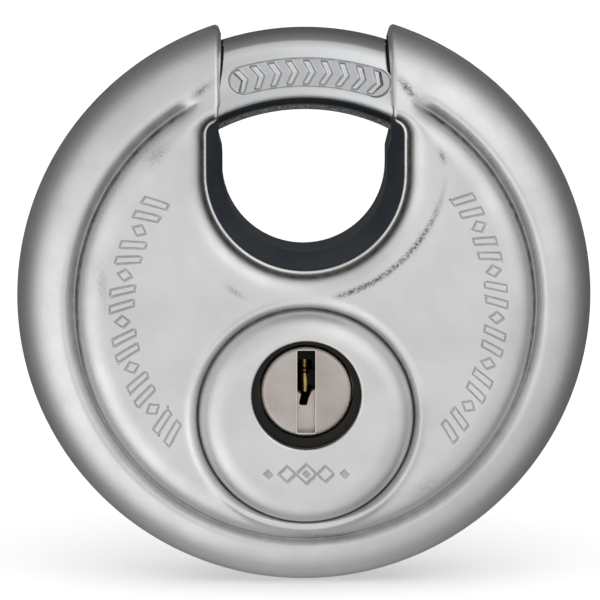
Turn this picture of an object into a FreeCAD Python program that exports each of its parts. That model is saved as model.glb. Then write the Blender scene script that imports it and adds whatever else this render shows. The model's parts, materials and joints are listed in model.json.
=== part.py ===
# Disc padlock: a 70 mm disc of two drawn steel shells with a curved shackle.
#
# Frame: millimetres, +Z up, the front (key side) faces -Y, the disc's axis
# lies along Y.  The origin is the centre of the exposed shackle bar, at the
# top of the lock, so the disc's centre is at z = -shackle_radius.
# "f" below is a depth measured from the disc's middle plane towards the
# front, so f = -y.  Every sub-part is drawn about the disc's centre (or about
# the plug's axis) and is then dropped into place by its Placement.
import FreeCAD, Part
import Sketcher
import math
import os
from FreeCAD import Placement, Rotation, Vector

doc = FreeCAD.newDocument("disc_padlock")

# ---------------------------------------------------------------- the sheet
SIZES = [
    # disc and shells
    ("disc_radius", 35.0, "half of the 70 mm size of the lock"),
    ("sheet_gauge", 1.5, "thickness of the drawn stainless shells"),
    ("seam_depth", 1.5, "f of the weld seam between the shells"),
    ("bead_centre", 27.2, "radius at which the rim's bead is centred"),
    ("bead_radius", 7.8, "outer radius of the bead's section"),
    ("band_radius", 29.3, "where the bead ends and the step begins"),
    ("groove_radius", 27.9, "radius of the crease inside the bead"),
    ("groove_depth", 6.7, "f of the crease"),
    ("groove_inner", 5.3, "f of the sheet's inside behind the crease"),
    ("front_face", 9.8, "f of the front plateau"),
    ("front_shoulder", 4.003, "radius of the front shoulder"),
    ("front_flat", 24.0, "radius where the front plateau ends"),
    ("rear_face", 11.5, "depth of the rear plateau"),
    ("rear_shoulder", 5.0, "radius of the rear shoulder"),
    ("rear_flat", 22.904, "radius where the rear plateau ends"),
    # boss round the cylinder
    ("boss_drop", 13.15, "boss centre below the disc's centre"),
    ("boss_face", 12.5, "f of the boss's flat face"),
    ("boss_flat", 9.5, "radius of the boss's flat face"),
    ("boss_shoulder", 3.5, "radius of the boss's rounded edge"),
    ("boss_foot", 9.0, "f of the crease round the boss"),
    ("boss_lip", 14.3, "outer radius of the lip round the boss"),
    ("hole_radius", 6.6, "hole in the boss for the plug"),
    # notch
    ("notch_rise", 16.0, "notch centre above the disc's centre"),
    ("notch_radius", 11.9, "radius of the shells' cut edge"),
    ("notch_edge", 6.5, "depth of the cut edge"),
    ("notch_top", 16.5, "radius where the front roll-over meets the plateau"),
    ("notch_lift", 0.04, "how far the roll-over's crown stands above the plateau"),
    ("notch_top_rear", 17.377, "the same on the rear"),
    ("notch_shoulder", 22.3, "height where the notch's straight sides end"),
    ("mouth_half", 10.4, "half of the mouth's width between the necks"),
    # liner
    ("liner_bore", 9.94, "inner radius of the plastic liner"),
    ("liner_outer", 13.0, "outer radius of the liner"),
    ("liner_crest", 4.0, "half width of the liner's flat crest"),
    ("liner_half", 6.35, "half width of the liner over its slopes"),
    ("liner_slope", 11.75, "radius at the liner's edge"),
    ("liner_back", 5.9, "half width of the liner at its outer radius"),
    ("liner_step", 18.2, "height where the liner steps back to the mouth"),
    ("liner_step_end", 19.9, "height where that step ends"),
    ("bar_clearance", 0.35, "gap between the liner and the shackle"),
    # shackle
    ("shackle_radius", 28.0, "centreline radius of the curved shackle"),
    ("bar_radius", 5.0, "half of the 10 mm bar"),
    ("shackle_arc", 196.0, "arc of the shackle in degrees"),
    ("panel_half", 1.6, "half height of the sunk panel on the bar"),
    ("panel_depth", 4.65, "f of the panel's floor"),
    ("tail_flat", 2.5, "depth of the milled flat at the tail"),
    # fork, cam and pin
    ("fork_gauge", 2.0, "thickness of the fork plate"),
    ("fork_half", 4.2, "half width of the fork plate"),
    ("fork_inner", 17.3, "radius of the fork's tips"),
    ("fork_outer", 30.8, "radius of the fork's root"),
    ("fork_slot", 1.65, "half width of the fork's slot"),
    ("fork_slot_end", 21.6, "radius of the slot's round end"),
    ("rivet_radius", 1.0, "radius of the fork's rivets"),
    ("pin_orbit", 11.6, "drive pin's distance from the plug's axis"),
    ("pin_radius", 1.5, "radius of the drive pin"),
    ("pin_tip", 2.4, "depth of the drive pin's tip"),
    ("cam_near", 7.1, "depth of the cam's front"),
    ("cam_far", 8.7, "depth of the cam's rear"),
    ("cam_hub", 5.5, "radius of the cam's hub"),
    ("cam_arm", 2.6, "half width of the cam's arm"),
    ("clip_near", 8.8, "depth of the clip's front"),
    ("clip_gauge", 0.5, "thickness of the clip"),
    ("clip_inner", 3.0, "inner radius of the clip"),
    ("clip_outer", 4.8, "outer radius of the clip"),
    # cylinder
    ("plug_drop", 9.9, "plug axis below the disc's centre"),
    ("plug_radius", 5.25, "plug barrel"),
    ("plug_bore", 5.3, "bore of the cylinder body"),
    ("plug_head", 5.6, "radius of the plug's head"),
    ("plug_front", 11.2, "f of the plug's face"),
    ("plug_edge", 0.8, "radius of the rounded edge of the plug's face"),
    ("head_back", 9.05, "f of the back of the plug's head"),
    ("plug_back", 7.05, "depth of the plug barrel's rear end"),
    ("tail_radius", 3.5, "radius of the plug's tail"),
    ("tail_half", 2.7, "half of the tail's width across its flats"),
    ("tail_end", 9.7, "depth of the tail's end"),
    ("body_radius", 7.0, "cylinder body"),
    ("body_front", 9.3, "f of the cylinder body's front"),
    ("body_back", 7.0, "depth of the cylinder body's rear"),
    ("head_bore", 5.7, "counterbore for the plug's head"),
    ("bible_half", 2.6, "half width of the pin housing"),
    ("bible_front", 7.1, "f of the pin housing's front"),
    ("bible_top", 1.1, "z of the pin housing's top above the disc's centre"),
    ("cover_gauge", 0.6, "thickness of the chamber cover"),
    ("guard_front", 10.8, "f of the drill guard's front"),
    ("slot_half", 1.18, "half width of the key slot"),
    ("slot_reach", 5.12, "half length of the key slot"),
    ("slot_floor", 10.0, "f of the key slot's floor"),
    ("keyway_front", 7.8, "f where the warded mouth ends"),
    ("ward_front", 9.0, "f of the top of the mouth's rounded ward"),
    ("ward_radius", 1.08, "radius of the rounded ward"),
    ("ward_height", 1.35, "height of the rounded ward above the plug's centre"),
    ("keyway_left", 0.95, "inner keyway, left of the axis"),
    ("keyway_right", 0.75, "inner keyway, right of the axis"),
    ("keyway_top", 3.4, "inner keyway above the plug's axis"),
    ("keyway_floor", 1.83, "keyway below the plug's axis"),
    ("keyway_back", 6.2, "depth where the keyway ends"),
    # pins
    ("chamber_radius", 1.15, "bore of the pin chambers"),
    ("pin_body", 1.1, "radius of the key and driver pins"),
    ("chamber_floor", 1.7, "bottom of the chambers below the plug's axis"),
    ("pin_rest", 1.5, "key pins' tips below the plug's axis"),
    ("first_pin", 5.7, "f of the first pin"),
    ("pin_pitch", 2.8, "spacing of the pins"),
    ("driver_rest", 5.35, "driver pins' ends above the plug's axis"),
    ("driver_length", 3.0, "length of the driver pins"),
    ("spring_radius", 0.85, "mean radius of the springs' coils"),
    ("spring_wire", 0.2, "radius of the springs' wire"),
    # cores
    ("core_radius", 22.7, "outer radius of the cast cores"),
    ("core_front", 5.2, "f of the front core's rim"),
    ("core_pad", 7.4, "f of the front core's pad"),
    ("core_pad_radius", 21.0, "radius of the front core's pad"),
    ("core_notch", 17.0, "notch of the pad"),
    ("core_back", 6.9, "depth of the rear core"),
    ("post_radius", 3.5, "posts that the shells rest on"),
    ("screw_radius", 1.5, "M3 core screws"),
    ("screw_head", 2.6, "radius of the screws' heads"),
    ("screw_clear", 1.6, "clearance hole for the screws"),
    ("screw_seat", 4.6, "depth of the seats of the screws' heads"),
]
KEY_PIN_LENGTHS = [3.2, 4.4, 3.8, 5.2, 4.0]
for i, length in enumerate(KEY_PIN_LENGTHS):
    SIZES.append(("key_pin_length_%s" % "abcde"[i], length, "length of key pin %d" % (i + 1)))

sheet = doc.addObject("Spreadsheet::Sheet", "Sizes")
for row, (alias, value, note) in enumerate(SIZES, 1):
    sheet.set("A%d" % row, alias.replace("_", " "))
    sheet.set("B%d" % row, "%r" % value)
    sheet.set("C%d" % row, note)
    sheet.setAlias("B%d" % row, alias)
doc.recompute()


# A number that remembers the sheet expression it comes from, so the same
# arithmetic gives both the drawn value and the binding.
class Dim(float):
    def __new__(cls, value, text):
        self = float.__new__(cls, value)
        self.text = text
        return self

    def __add__(self, other):
        return Dim(float(self) + float(other), "(%s + %s)" % (self.text, words(other)))

    def __radd__(self, other):
        return Dim(float(other) + float(self), "(%s + %s)" % (words(other), self.text))

    def __sub__(self, other):
        return Dim(float(self) - float(other), "(%s - %s)" % (self.text, words(other)))

    def __rsub__(self, other):
        return Dim(float(other) - float(self), "(%s - %s)" % (words(other), self.text))

    def __mul__(self, other):
        return Dim(float(self) * float(other), "(%s * %s)" % (self.text, words(other)))

    def __rmul__(self, other):
        return Dim(float(other) * float(self), "(%s * %s)" % (words(other), self.text))

    def __truediv__(self, other):
        return Dim(float(self) / float(other), "(%s / %s)" % (self.text, words(other)))

    def __neg__(self):
        return Dim(-float(self), "(0 - %s)" % self.text)


def words(number):
    return number.text if isinstance(number, Dim) else "%r" % float(number)


def root(number):
    return Dim(math.sqrt(float(number)), "sqrt(%s)" % words(number))


D = {alias: Dim(float(value), "Sizes." + alias) for alias, value, _ in SIZES}


def bind(obj, prop, value):
    if isinstance(value, Dim):
        obj.setExpression(prop, value.text)


def put(obj, x=0.0, y=0.0, z=0.0, rot=None):
    obj.Placement = Placement(
        Vector(float(x), float(y), float(z)), rot if rot is not None else Rotation()
    )
    bind(obj, "Placement.Base.x", x)
    bind(obj, "Placement.Base.y", y)
    bind(obj, "Placement.Base.z", z)
    return obj


ALONG = Rotation(Vector(1, 0, 0), 90)  # turns +Z into -Y, the front


def turn(deg):
    """Rotation about +Y: positive is clockwise as seen from the front."""
    return Rotation(Vector(0, 1, 0), deg)


def rod(name, radius, f0, f1, x=0.0, z=0.0, sweep=None, start=0.0):
    """Cylinder along the disc's axis, from depth f0 to depth f1."""
    obj = doc.addObject("Part::Cylinder", name)
    obj.Radius = float(radius)
    bind(obj, "Radius", radius)
    obj.Height = float(f1) - float(f0)
    height = f1 - f0
    bind(obj, "Height", height)
    if sweep is not None:
        obj.Angle = sweep
    rot = ALONG.multiply(Rotation(Vector(0, 0, 1), start))
    return put(obj, x, 0.0 - f0 if isinstance(f0, Dim) else -f0, z, rot)


def post(name, radius, z0, z1, y=0.0):
    """Cylinder along Z."""
    obj = doc.addObject("Part::Cylinder", name)
    obj.Radius = float(radius)
    bind(obj, "Radius", radius)
    obj.Height = float(z1) - float(z0)
    bind(obj, "Height", z1 - z0)
    return put(obj, 0.0, y, z0)


def block(name, x0, x1, f0, f1, z0, z1):
    obj = doc.addObject("Part::Box", name)
    for prop, lo, hi in (("Length", x0, x1), ("Width", f0, f1), ("Height", z0, z1)):
        setattr(obj, prop, float(hi) - float(lo))
        bind(obj, prop, hi - lo)
    return put(obj, x0, 0.0 - f1 if isinstance(f1, Dim) else -f1, z0)


def fuse(name, *shapes):
    obj = doc.addObject("Part::MultiFuse", name)
    obj.Shapes = list(shapes)
    obj.Refine = True
    return obj


def common(name, *shapes):
    obj = doc.addObject("Part::MultiCommon", name)
    obj.Shapes = list(shapes)
    return obj


def cut(name, base, *tools):
    tool = tools[0] if len(tools) == 1 else fuse(name + "_tools", *tools)
    obj = doc.addObject("Part::Cut", name)
    obj.Base = base
    obj.Tool = tool
    return obj


def origin_plane(body, role):
    return [o for o in body.Origin.OriginFeatures if o.Role == role][0]


def outline(body, name, role, path):
    """Closed sketch outline, every corner held to the sheet.

    path holds (u, v) corners; a third entry (cu, cv, radius) makes the edge
    to the next corner an arc about that centre.
    """
    sk = body.newObject("Sketcher::SketchObject", name)
    sk.AttachmentSupport = [(origin_plane(body, role), "")]
    sk.MapMode = "FlatFace"
    edges = []
    for i, p in enumerate(path):
        q = path[(i + 1) % len(path)]
        a = Vector(float(p[0]), float(p[1]), 0)
        b = Vector(float(q[0]), float(q[1]), 0)
        if len(p) == 2:
            g = sk.addGeometry(Part.LineSegment(a, b), False)
            edges.append((g, 1, 2, None))
            continue
        c = Vector(float(p[2][0]), float(p[2][1]), 0)
        ta = math.atan2(a.y - c.y, a.x - c.x)
        tb = math.atan2(b.y - c.y, b.x - c.x)
        circle = Part.Circle(c, Vector(0, 0, 1), float(p[2][2]))
        if (tb - ta) % (2 * math.pi) < math.pi:
            g = sk.addGeometry(Part.ArcOfCircle(circle, ta, tb), False)
            edges.append((g, 1, 2, p[2][2]))
        else:
            g = sk.addGeometry(Part.ArcOfCircle(circle, tb, ta), False)
            edges.append((g, 2, 1, p[2][2]))
    for i, (g, first, last, _) in enumerate(edges):
        h, other, _, _ = edges[(i + 1) % len(edges)]
        sk.addConstraint(Sketcher.Constraint("Coincident", g, last, h, other))
    for i, (g, first, last, rad) in enumerate(edges):
        for kind, axis, value in (("DistanceX", -2, path[i][0]), ("DistanceY", -1, path[i][1])):
            if abs(float(value)) < 1e-9:
                sk.addConstraint(Sketcher.Constraint("PointOnObject", g, first, axis))
            else:
                c = sk.addConstraint(
                    Sketcher.Constraint(kind, -1, 1, g, first, float(value))
                )
                if isinstance(value, Dim):
                    sk.setExpression("Constraints[%d]" % c, value.text)
        if rad is not None:
            c = sk.addConstraint(Sketcher.Constraint("Radius", g, float(rad)))
            if isinstance(rad, Dim):
                sk.setExpression("Constraints[%d]" % c, rad.text)
    return sk


def lathe(name, path, z=0.0):
    """Body turned about an axis along Y at height z; path holds (radius, f)."""
    body = doc.addObject("PartDesign::Body", name)
    flat = []
    for p in path:
        v = 0.0 - p[1] if isinstance(p[1], Dim) else -p[1]
        if len(p) == 2:
            flat.append((p[0], v))
        else:
            flat.append((p[0], v, (p[2][0], -float(p[2][1]), p[2][2])))
    sk = outline(body, name + "_sketch", "XY_Plane", flat)
    rev = body.newObject("PartDesign::Revolution", name + "_turned")
    rev.Profile = sk
    rev.ReferenceAxis = (sk, ["V_Axis"])
    rev.Angle = 360.0
    body.Tip = rev
    put(body, 0.0, 0.0, z)
    return body


def slab(name, path, f0, f1, z=0.0, rot=None):
    """Body padded along the disc's axis; path holds (x, z) corners."""
    body = doc.addObject("PartDesign::Body", name)
    sk = outline(body, name + "_sketch", "XZ_Plane", path)
    pad = body.newObject("PartDesign::Pad", name + "_pad")
    pad.Profile = sk
    pad.Length = float(f1) - float(f0)
    bind(pad, "Length", f1 - f0)
    body.Tip = pad
    put(body, 0.0, 0.0 - f0 if isinstance(f0, Dim) else -f0, z, rot)
    return body


def mirrored(path):
    """Whole outline of a channel from the half path of its lathe, across u = 0."""
    half_ = path[1:-1]
    full = [tuple(p) for p in half_]
    for i in range(len(half_) - 1, -1, -1):
        p = half_[i]
        u = 0.0 - p[0] if isinstance(p[0], Dim) else -p[0]
        before = half_[i - 1] if i else ()
        if len(before) == 3:
            full.append((u, p[1], (-float(before[2][0]), before[2][1], before[2][2])))
        else:
            full.append((u, p[1]))
    return full


def channel(name, path, z0, z1):
    """Body padded upwards from z0 to z1; path holds (x, f) corners."""
    body = doc.addObject("PartDesign::Body", name)
    flat = []
    for p in path:
        v = 0.0 - p[1] if isinstance(p[1], Dim) else -p[1]
        if len(p) == 2:
            flat.append((p[0], v))
        else:
            flat.append((p[0], v, (p[2][0], -float(p[2][1]), p[2][2])))
    sk = outline(body, name + "_sketch", "XY_Plane", flat)
    pad_ = body.newObject("PartDesign::Pad", name + "_pad")
    pad_.Profile = sk
    pad_.Length = float(z1) - float(z0)
    bind(pad_, "Length", z1 - z0)
    body.Tip = pad_
    put(body, 0.0, 0.0, z0)
    return body


# ------------------------------------------------------------ shell profiles
disc, gauge, seam = D["disc_radius"], D["sheet_gauge"], D["seam_depth"]
bead_c, bead_r = D["bead_centre"], D["bead_radius"]
bead_in = bead_r - gauge


def disc_profile(face, shoulder, flat, inner):
    """(radius, f) outline of one half of the disc, outside or inside."""
    c = float(shoulder) and float(face) - float(shoulder)
    span = float(D["groove_radius"]) - float(flat)
    drop = float(D["groove_depth"]) - c
    if not inner:
        return [
            (0.0, seam),
            (0.0, face),
            (flat, face, (flat, c, shoulder)),
            (D["groove_radius"], D["groove_depth"]),
            (D["band_radius"], root(bead_r * bead_r - (D["band_radius"] - bead_c) * (D["band_radius"] - bead_c)),
             (bead_c, 0.0, bead_r)),
            (bead_c + root(bead_r * bead_r - seam * seam), seam),
        ]
    ux = (D["groove_radius"] - flat) / shoulder
    uf = (D["groove_depth"] - (face - shoulder)) / shoulder
    rin = shoulder - gauge
    return [
        (0.0, seam),
        (0.0, face - gauge),
        (flat, face - gauge, (flat, c, rin)),
        (flat + rin * ux, (face - shoulder) + rin * uf),
        (D["groove_radius"] - 1.3, D["groove_inner"]),
        (D["groove_radius"] + 0.3, D["groove_inner"]),
        (D["groove_radius"] + 1.1,
         root(bead_in * bead_in - (D["groove_radius"] + 1.1 - bead_c) * (D["groove_radius"] + 1.1 - bead_c)),
         (bead_c, 0.0, bead_in)),
        (bead_c + root(bead_in * bead_in - seam * seam), seam),
    ]


def notch_profile(face, top, low, inner):
    """(radius, f) outline of the notch cutter for one half, about its axis."""
    edge_r, edge_f = D["notch_radius"], D["notch_edge"]
    across, rise_ = top - edge_r, face + D["notch_lift"] - edge_f
    roll = (across * across + rise_ * rise_) / (2.0 * rise_)
    crown = face + D["notch_lift"]
    c = float(crown) - float(roll)
    if not inner:
        return [
            (0.0, low),
            (edge_r, low),
            (edge_r, edge_f, (top, c, roll)),
            (top, crown),
            (top, face + 5.0),
            (0.0, face + 5.0),
        ]
    rin = roll - gauge
    ux = (edge_r - top) / roll
    uf = (edge_f - (crown - roll)) / roll
    end_r, end_f = top + rin * ux, (crown - roll) + rin * uf
    lead_r = edge_r - (end_r - edge_r) * 0.6
    lead_f = edge_f - (end_f - edge_f) * 0.6 - 0.08
    return [
        (0.0, low),
        (lead_r, low),
        (lead_r, lead_f),
        (end_r, end_f, (top, c, rin)),
        (top, crown - gauge),
        (top, face + 5.0),
        (0.0, face + 5.0),
    ]


notch_z, boss_z, plug_z = D["notch_rise"], -D["boss_drop"], -D["plug_drop"]
down = -D["shackle_radius"]  # the disc's centre, below the origin


def finish(obj, label, rot=None, z=None):
    obj.Label = label
    put(obj, 0.0, 0.0, down if z is None else down + z, rot)
    NODES.append(obj)
    return obj


NODES = []

# Front shell: plateau, bead, boss and the rolled notch.
front_out = lathe("front_outer", disc_profile(D["front_face"], D["front_shoulder"], D["front_flat"], False))
front_in = lathe("front_inner", disc_profile(D["front_face"], D["front_shoulder"], D["front_flat"], True))
bf, bs, bfoot, bface = D["boss_flat"], D["boss_shoulder"], D["boss_foot"], D["boss_face"]
boss_out = lathe("boss_outer", [
    (0.0, 3.0), (0.0, bface), (bf, bface, (bf, float(bfoot), bs)), (bf + bs, bfoot), (bf + bs, 3.0),
], boss_z)
boss_in = lathe("boss_inner", [
    (0.0, 2.0), (0.0, bface - gauge), (bf, bface - gauge, (bf, float(bfoot), bs - gauge)),
    (bf + bs - gauge, bfoot), (bf + bs - gauge, 2.0),
], boss_z)
boss_crease = lathe("boss_crease", [
    (bf + bs, bfoot), (bf + bs, bface), (D["boss_lip"] + 0.65, bface), (D["boss_lip"] + 0.65, D["front_face"] + 0.4),
], boss_z)
boss_bump = lathe("boss_crease_inner", [
    (bf + bs - gauge, bfoot - 1.4), (bf + bs - gauge, bface), (D["boss_lip"] + 0.8, bface),
    (D["boss_lip"] + 0.8, bfoot - 0.5), (bf + bs + 0.4, bfoot - 1.4),
], boss_z)
shoulder_z = D["notch_shoulder"]


def notch_cutter(name, path):
    """Round bottom and straight sides of the notch."""
    return fuse(name, lathe(name + "_round", path, notch_z), channel(name + "_sides", mirrored(path), notch_z, shoulder_z))


front_notch = notch_cutter("front_notch", notch_profile(D["front_face"], D["notch_top"], -0.5, False))
front_notch_in = notch_cutter("front_notch_inner", notch_profile(D["front_face"], D["notch_top"], -0.5, True))
mouth = block("mouth_front", -D["mouth_half"], D["mouth_half"], -20.0, 20.0, notch_z, 40.0)
plug_hole = rod("plug_hole", D["hole_radius"], 8.0, 16.0, 0.0, plug_z)
outer_skin = fuse("front_skin", cut("front_disc_creased", front_out, boss_crease), boss_out)
outer_skin = cut("front_skin_cut", outer_skin, front_notch)
inner_skin = fuse("front_hollow", cut("front_hollow_creased", front_in, boss_bump), boss_in)
inner_skin = cut("front_hollow_cut", inner_skin, front_notch_in)
front_shell = cut("front_shell_body", cut("front_walls", outer_skin, inner_skin), mouth, plug_hole)
finish(front_shell, "front_shell")

# Rear shell: the same bead and notch, plain plateau.  It is drawn facing the
# front and turned half a turn about Z, so its seam sits at -seam_depth there.
rear_profile = disc_profile(D["rear_face"], D["rear_shoulder"], D["rear_flat"], False)
rear_out_path = [(p[0], (0.0 - seam if p[1] is seam else p[1])) + tuple(p[2:]) for p in rear_profile]
rear_profile = disc_profile(D["rear_face"], D["rear_shoulder"], D["rear_flat"], True)
rear_in_path = [(p[0], (0.0 - seam if p[1] is seam else p[1])) + tuple(p[2:]) for p in rear_profile]
rear_out = lathe("rear_outer", rear_out_path)
rear_in = lathe("rear_inner", rear_in_path)
rear_notch = notch_cutter("rear_notch", notch_profile(D["rear_face"], D["notch_top_rear"], -2.0, False))
rear_notch_in = notch_cutter("rear_notch_inner", notch_profile(D["rear_face"], D["notch_top_rear"], -2.0, True))
mouth_rear = block("mouth_rear", -D["mouth_half"], D["mouth_half"], -20.0, 20.0, notch_z, 40.0)
rear_shell = cut(
    "rear_shell_body",
    cut("rear_walls", cut("rear_skin", rear_out, rear_notch), cut("rear_hollow", rear_in, rear_notch_in)),
    mouth_rear,
)
finish(rear_shell, "rear_shell", Rotation(Vector(0, 0, 1), 180))

# Plastic liner of the notch, stepped back where the mouth begins.
half, slope, back = D["liner_half"], D["liner_slope"], D["liner_back"]
liner_path = [
    (D["liner_bore"], -D["liner_crest"]), (D["liner_bore"], D["liner_crest"]), (slope, half),
    (D["liner_outer"], back), (D["liner_outer"], -back), (slope, -half),
]
ring = cut(
    "liner_round",
    lathe("liner_ring", liner_path, notch_z),
    block("liner_upper_half", -20.0, 20.0, -9.0, 9.0, notch_z, 40.0),
)
liner_sides = [
    channel("liner_right", liner_path, notch_z, shoulder_z),
    channel("liner_left", [(0.0 - p[0], p[1]) for p in liner_path], notch_z, shoulder_z),
]
liner_groove = doc.addObject("Part::Torus", "liner_bar_groove")
liner_groove.Radius1 = float(D["shackle_radius"])
bind(liner_groove, "Radius1", D["shackle_radius"])
liner_groove.Radius2 = float(D["bar_radius"] + D["bar_clearance"])
bind(liner_groove, "Radius2", D["bar_radius"] + D["bar_clearance"])
put(liner_groove, 0.0, 0.0, 0.0, ALONG)
mouth_half = D["mouth_half"]
step = slab("liner_step_cutter", [
    (-mouth_half, D["liner_step_end"]), (-D["liner_bore"], D["liner_step"]), (D["liner_bore"], D["liner_step"]),
    (mouth_half, D["liner_step_end"]), (mouth_half, 30.0), (-mouth_half, 30.0),
], -9.0, 9.0)
finish(cut("liner_body", fuse("liner_u", ring, *liner_sides), step, liner_groove), "notch_liner")

# ------------------------------------------------------------------ shackle
TOE, TAIL = 42.0, 154.0  # degrees from the top: toe to the left, tail to the right
bar = doc.addObject("Part::Torus", "shackle_bar")
bar.Radius1 = float(D["shackle_radius"])
bind(bar, "Radius1", D["shackle_radius"])
bar.Radius2 = float(D["bar_radius"])
bind(bar, "Radius2", D["bar_radius"])
bar.Angle1, bar.Angle2 = -180.0, 180.0
bar.Angle3 = float(D["shackle_arc"])
bind(bar, "Angle3", D["shackle_arc"])
put(bar, 0.0, 0.0, 0.0, ALONG.multiply(Rotation(Vector(0, 0, 1), 90.0 - TAIL)))
rise, pan = D["shackle_radius"], D["panel_half"]
# Sunk panel along the front of the bar, with round ends.
PANEL_LEFT, PANEL_RIGHT = 19.0, 21.0
panel_out = rod("panel_outer", rise + pan, D["panel_depth"], 6.0, 0.0, 0.0, PANEL_LEFT + PANEL_RIGHT, 90.0 - PANEL_RIGHT)
panel_in = rod("panel_inner", rise - pan, D["panel_depth"] - 0.5, 6.5)
panel_end = rod("panel_left_end", pan, D["panel_depth"], 6.0,
                -rise * math.sin(math.radians(PANEL_LEFT)), rise * math.cos(math.radians(PANEL_LEFT)))
panel = fuse("panel", cut("panel_band", panel_out, panel_in), panel_end)
# Milled flat at the tail, where the fork is riveted on.
FORK = 32.3  # degrees from straight down
flat_out = rod("tail_flat_outer", 34.0, -7.0, -D["tail_flat"], 0.0, 0.0, 30.0, -90.0 + FORK - 12.0)
flat_in = rod("tail_flat_inner", 21.0, -8.0, 0.0)
flat = cut("tail_flat_cutter", flat_out, flat_in)


def at_fork(obj, z):
    """Places an upright tool at the fork's angle round the disc's centre."""
    a = math.radians(FORK)
    obj.Placement = Placement(Vector(0, 0, 0), turn(-FORK)).multiply(obj.Placement)
    return obj


rivet_holes = []
for i, (x, z) in enumerate(((-2.6, -26.0), (2.6, -27.5))):
    tool = rod("rivet_hole_%d" % i, D["rivet_radius"], -6.0, 1.0)
    tool.Placement = Placement(Vector(0, 0, 0), turn(-FORK)).multiply(
        Placement(Vector(x, 6.0, z), ALONG)
    )
    rivet_holes.append(tool)
shackle = cut("shackle_body", bar, panel, flat, *rivet_holes)
finish(shackle, "shackle")

fork_plate = block("fork_plate", -D["fork_half"], D["fork_half"], -D["tail_flat"] - D["fork_gauge"], -D["tail_flat"], -D["fork_outer"], -D["fork_inner"])
fork_gap = block("fork_gap", -D["fork_slot"], D["fork_slot"], -8.0, 0.0, -D["fork_slot_end"], -10.0)
fork_round = rod("fork_round", D["fork_slot"], -8.0, 0.0, 0.0, -D["fork_slot_end"])
fork_holes = []
for i, (x, z) in enumerate(((-2.6, -26.0), (2.6, -27.5))):
    fork_holes.append(rod("fork_rivet_hole_%d" % i, D["rivet_radius"], -8.0, 0.0, x, z))
fork_flat = cut("fork_body", fork_plate, fork_gap, fork_round, *fork_holes)
finish(fork_flat, "driver_fork", turn(-FORK))

rivets = []
for i, (x, z) in enumerate(((-2.6, -26.0), (2.6, -27.5))):
    rivets.append(rod("rivet_%d" % i, D["rivet_radius"], -D["tail_flat"] - D["fork_gauge"], 1.0, x, z))
rivet_group = doc.addObject("Part::Compound", "fork_rivet_group")
rivet_group.Links = rivets
finish(rivet_group, "fork_rivets", turn(-FORK))

# ------------------------------------------------------------ drive at the rear
PIN = 59.4  # degrees from straight down, about the plug's axis
pin_r, orbit = D["pin_radius"], D["pin_orbit"]
hub = rod("cam_hub_disc", D["cam_hub"], -D["cam_far"], -D["cam_near"])
arm = block("cam_arm_bar", -D["cam_arm"], D["cam_arm"], -D["cam_far"], -D["cam_near"], -orbit, 0.0)
tip = rod("cam_tip", D["cam_arm"], -D["cam_far"], -D["cam_near"], 0.0, -orbit)
pin_hole = rod("cam_pin_hole", pin_r, -12.0, 0.0, 0.0, -orbit)
cam_solid = cut("cam_solid", fuse("cam_outline", hub, arm, tip), pin_hole)
cam_solid.Placement = Placement(Vector(0, 0, 0), turn(-PIN))
tail_rod = rod("cam_tail_rod", D["tail_radius"], -12.0, 0.0)
tail_box = block("cam_tail_flats", -D["tail_half"], D["tail_half"], -12.0, 0.0, -6.0, 6.0)
finish(cut("cam_body", cam_solid, common("cam_tail_hole", tail_rod, tail_box)), "drive_cam", None, plug_z)

drive_pin = rod("drive_pin_rod", pin_r, -D["cam_far"], -D["pin_tip"], 0.0, 0.0)
drive_pin_group = doc.addObject("Part::Compound", "drive_pin_group")
drive_pin_group.Links = [drive_pin]
drive_pin.Placement = Placement(Vector(0, 0, 0), turn(-PIN)).multiply(
    Placement(Vector(0, float(D["cam_far"]), -float(orbit)), ALONG)
)
drive_pin.setExpression("Placement.Base.y", None)
drive_pin.setExpression("Placement.Base.x", "%s * sin(%r deg)" % (words(orbit), PIN))
drive_pin.setExpression("Placement.Base.z", "0 - %s * cos(%r deg)" % (words(orbit), PIN))
finish(drive_pin_group, "drive_pin", None, plug_z)

clip_ring = cut(
    "clip_ring",
    rod("clip_disc", D["clip_outer"], -D["clip_near"] - D["clip_gauge"], -D["clip_near"]),
    rod("clip_bore", D["clip_inner"], -12.0, -6.0),
    block("clip_gap", -1.9, 1.9, -12.0, -6.0, -6.0, 0.0),
)
finish(clip_ring, "retaining_clip", None, plug_z)

# ------------------------------------------------------------------ cylinder
b_half, b_top = D["bible_half"], D["bible_top"]
barrel = rod("barrel", D["body_radius"], -D["body_back"], D["body_front"], 0.0, plug_z)
bible = block("bible", -b_half, b_half, -D["body_back"], D["bible_front"], plug_z, b_top)
bore = rod("barrel_bore", D["plug_bore"], -12.0, 12.0, 0.0, plug_z)
counter = rod("head_counterbore", D["head_bore"], D["head_back"] - 0.05, 12.0, 0.0, plug_z)
PIN_F = [D["first_pin"] - D["pin_pitch"] * float(i) for i in range(5)]
chambers = [
    post("chamber_%d" % (i + 1), D["chamber_radius"], plug_z + 3.0, b_top + 1.0, 0.0 - f)
    for i, f in enumerate(PIN_F)
]
finish(cut("cylinder_solid", fuse("cylinder_blank", barrel, bible), bore, counter, *chambers), "cylinder_body")

guard = cut(
    "guard_solid",
    rod("guard_disc", D["body_radius"], D["body_front"], D["guard_front"]),
    rod("guard_bore", D["head_bore"], 8.0, 12.0),
)
finish(guard, "drill_guard_ring", None, plug_z)
finish(block("cover_plate", -b_half, b_half, -D["body_back"], D["bible_front"], b_top, b_top + D["cover_gauge"]), "chamber_cover")
# The cover keeps its own place: finish() moved it, so it is set again.
cover = NODES[-1]
put(cover, -b_half, 0.0 - D["bible_front"], down + b_top)

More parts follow.
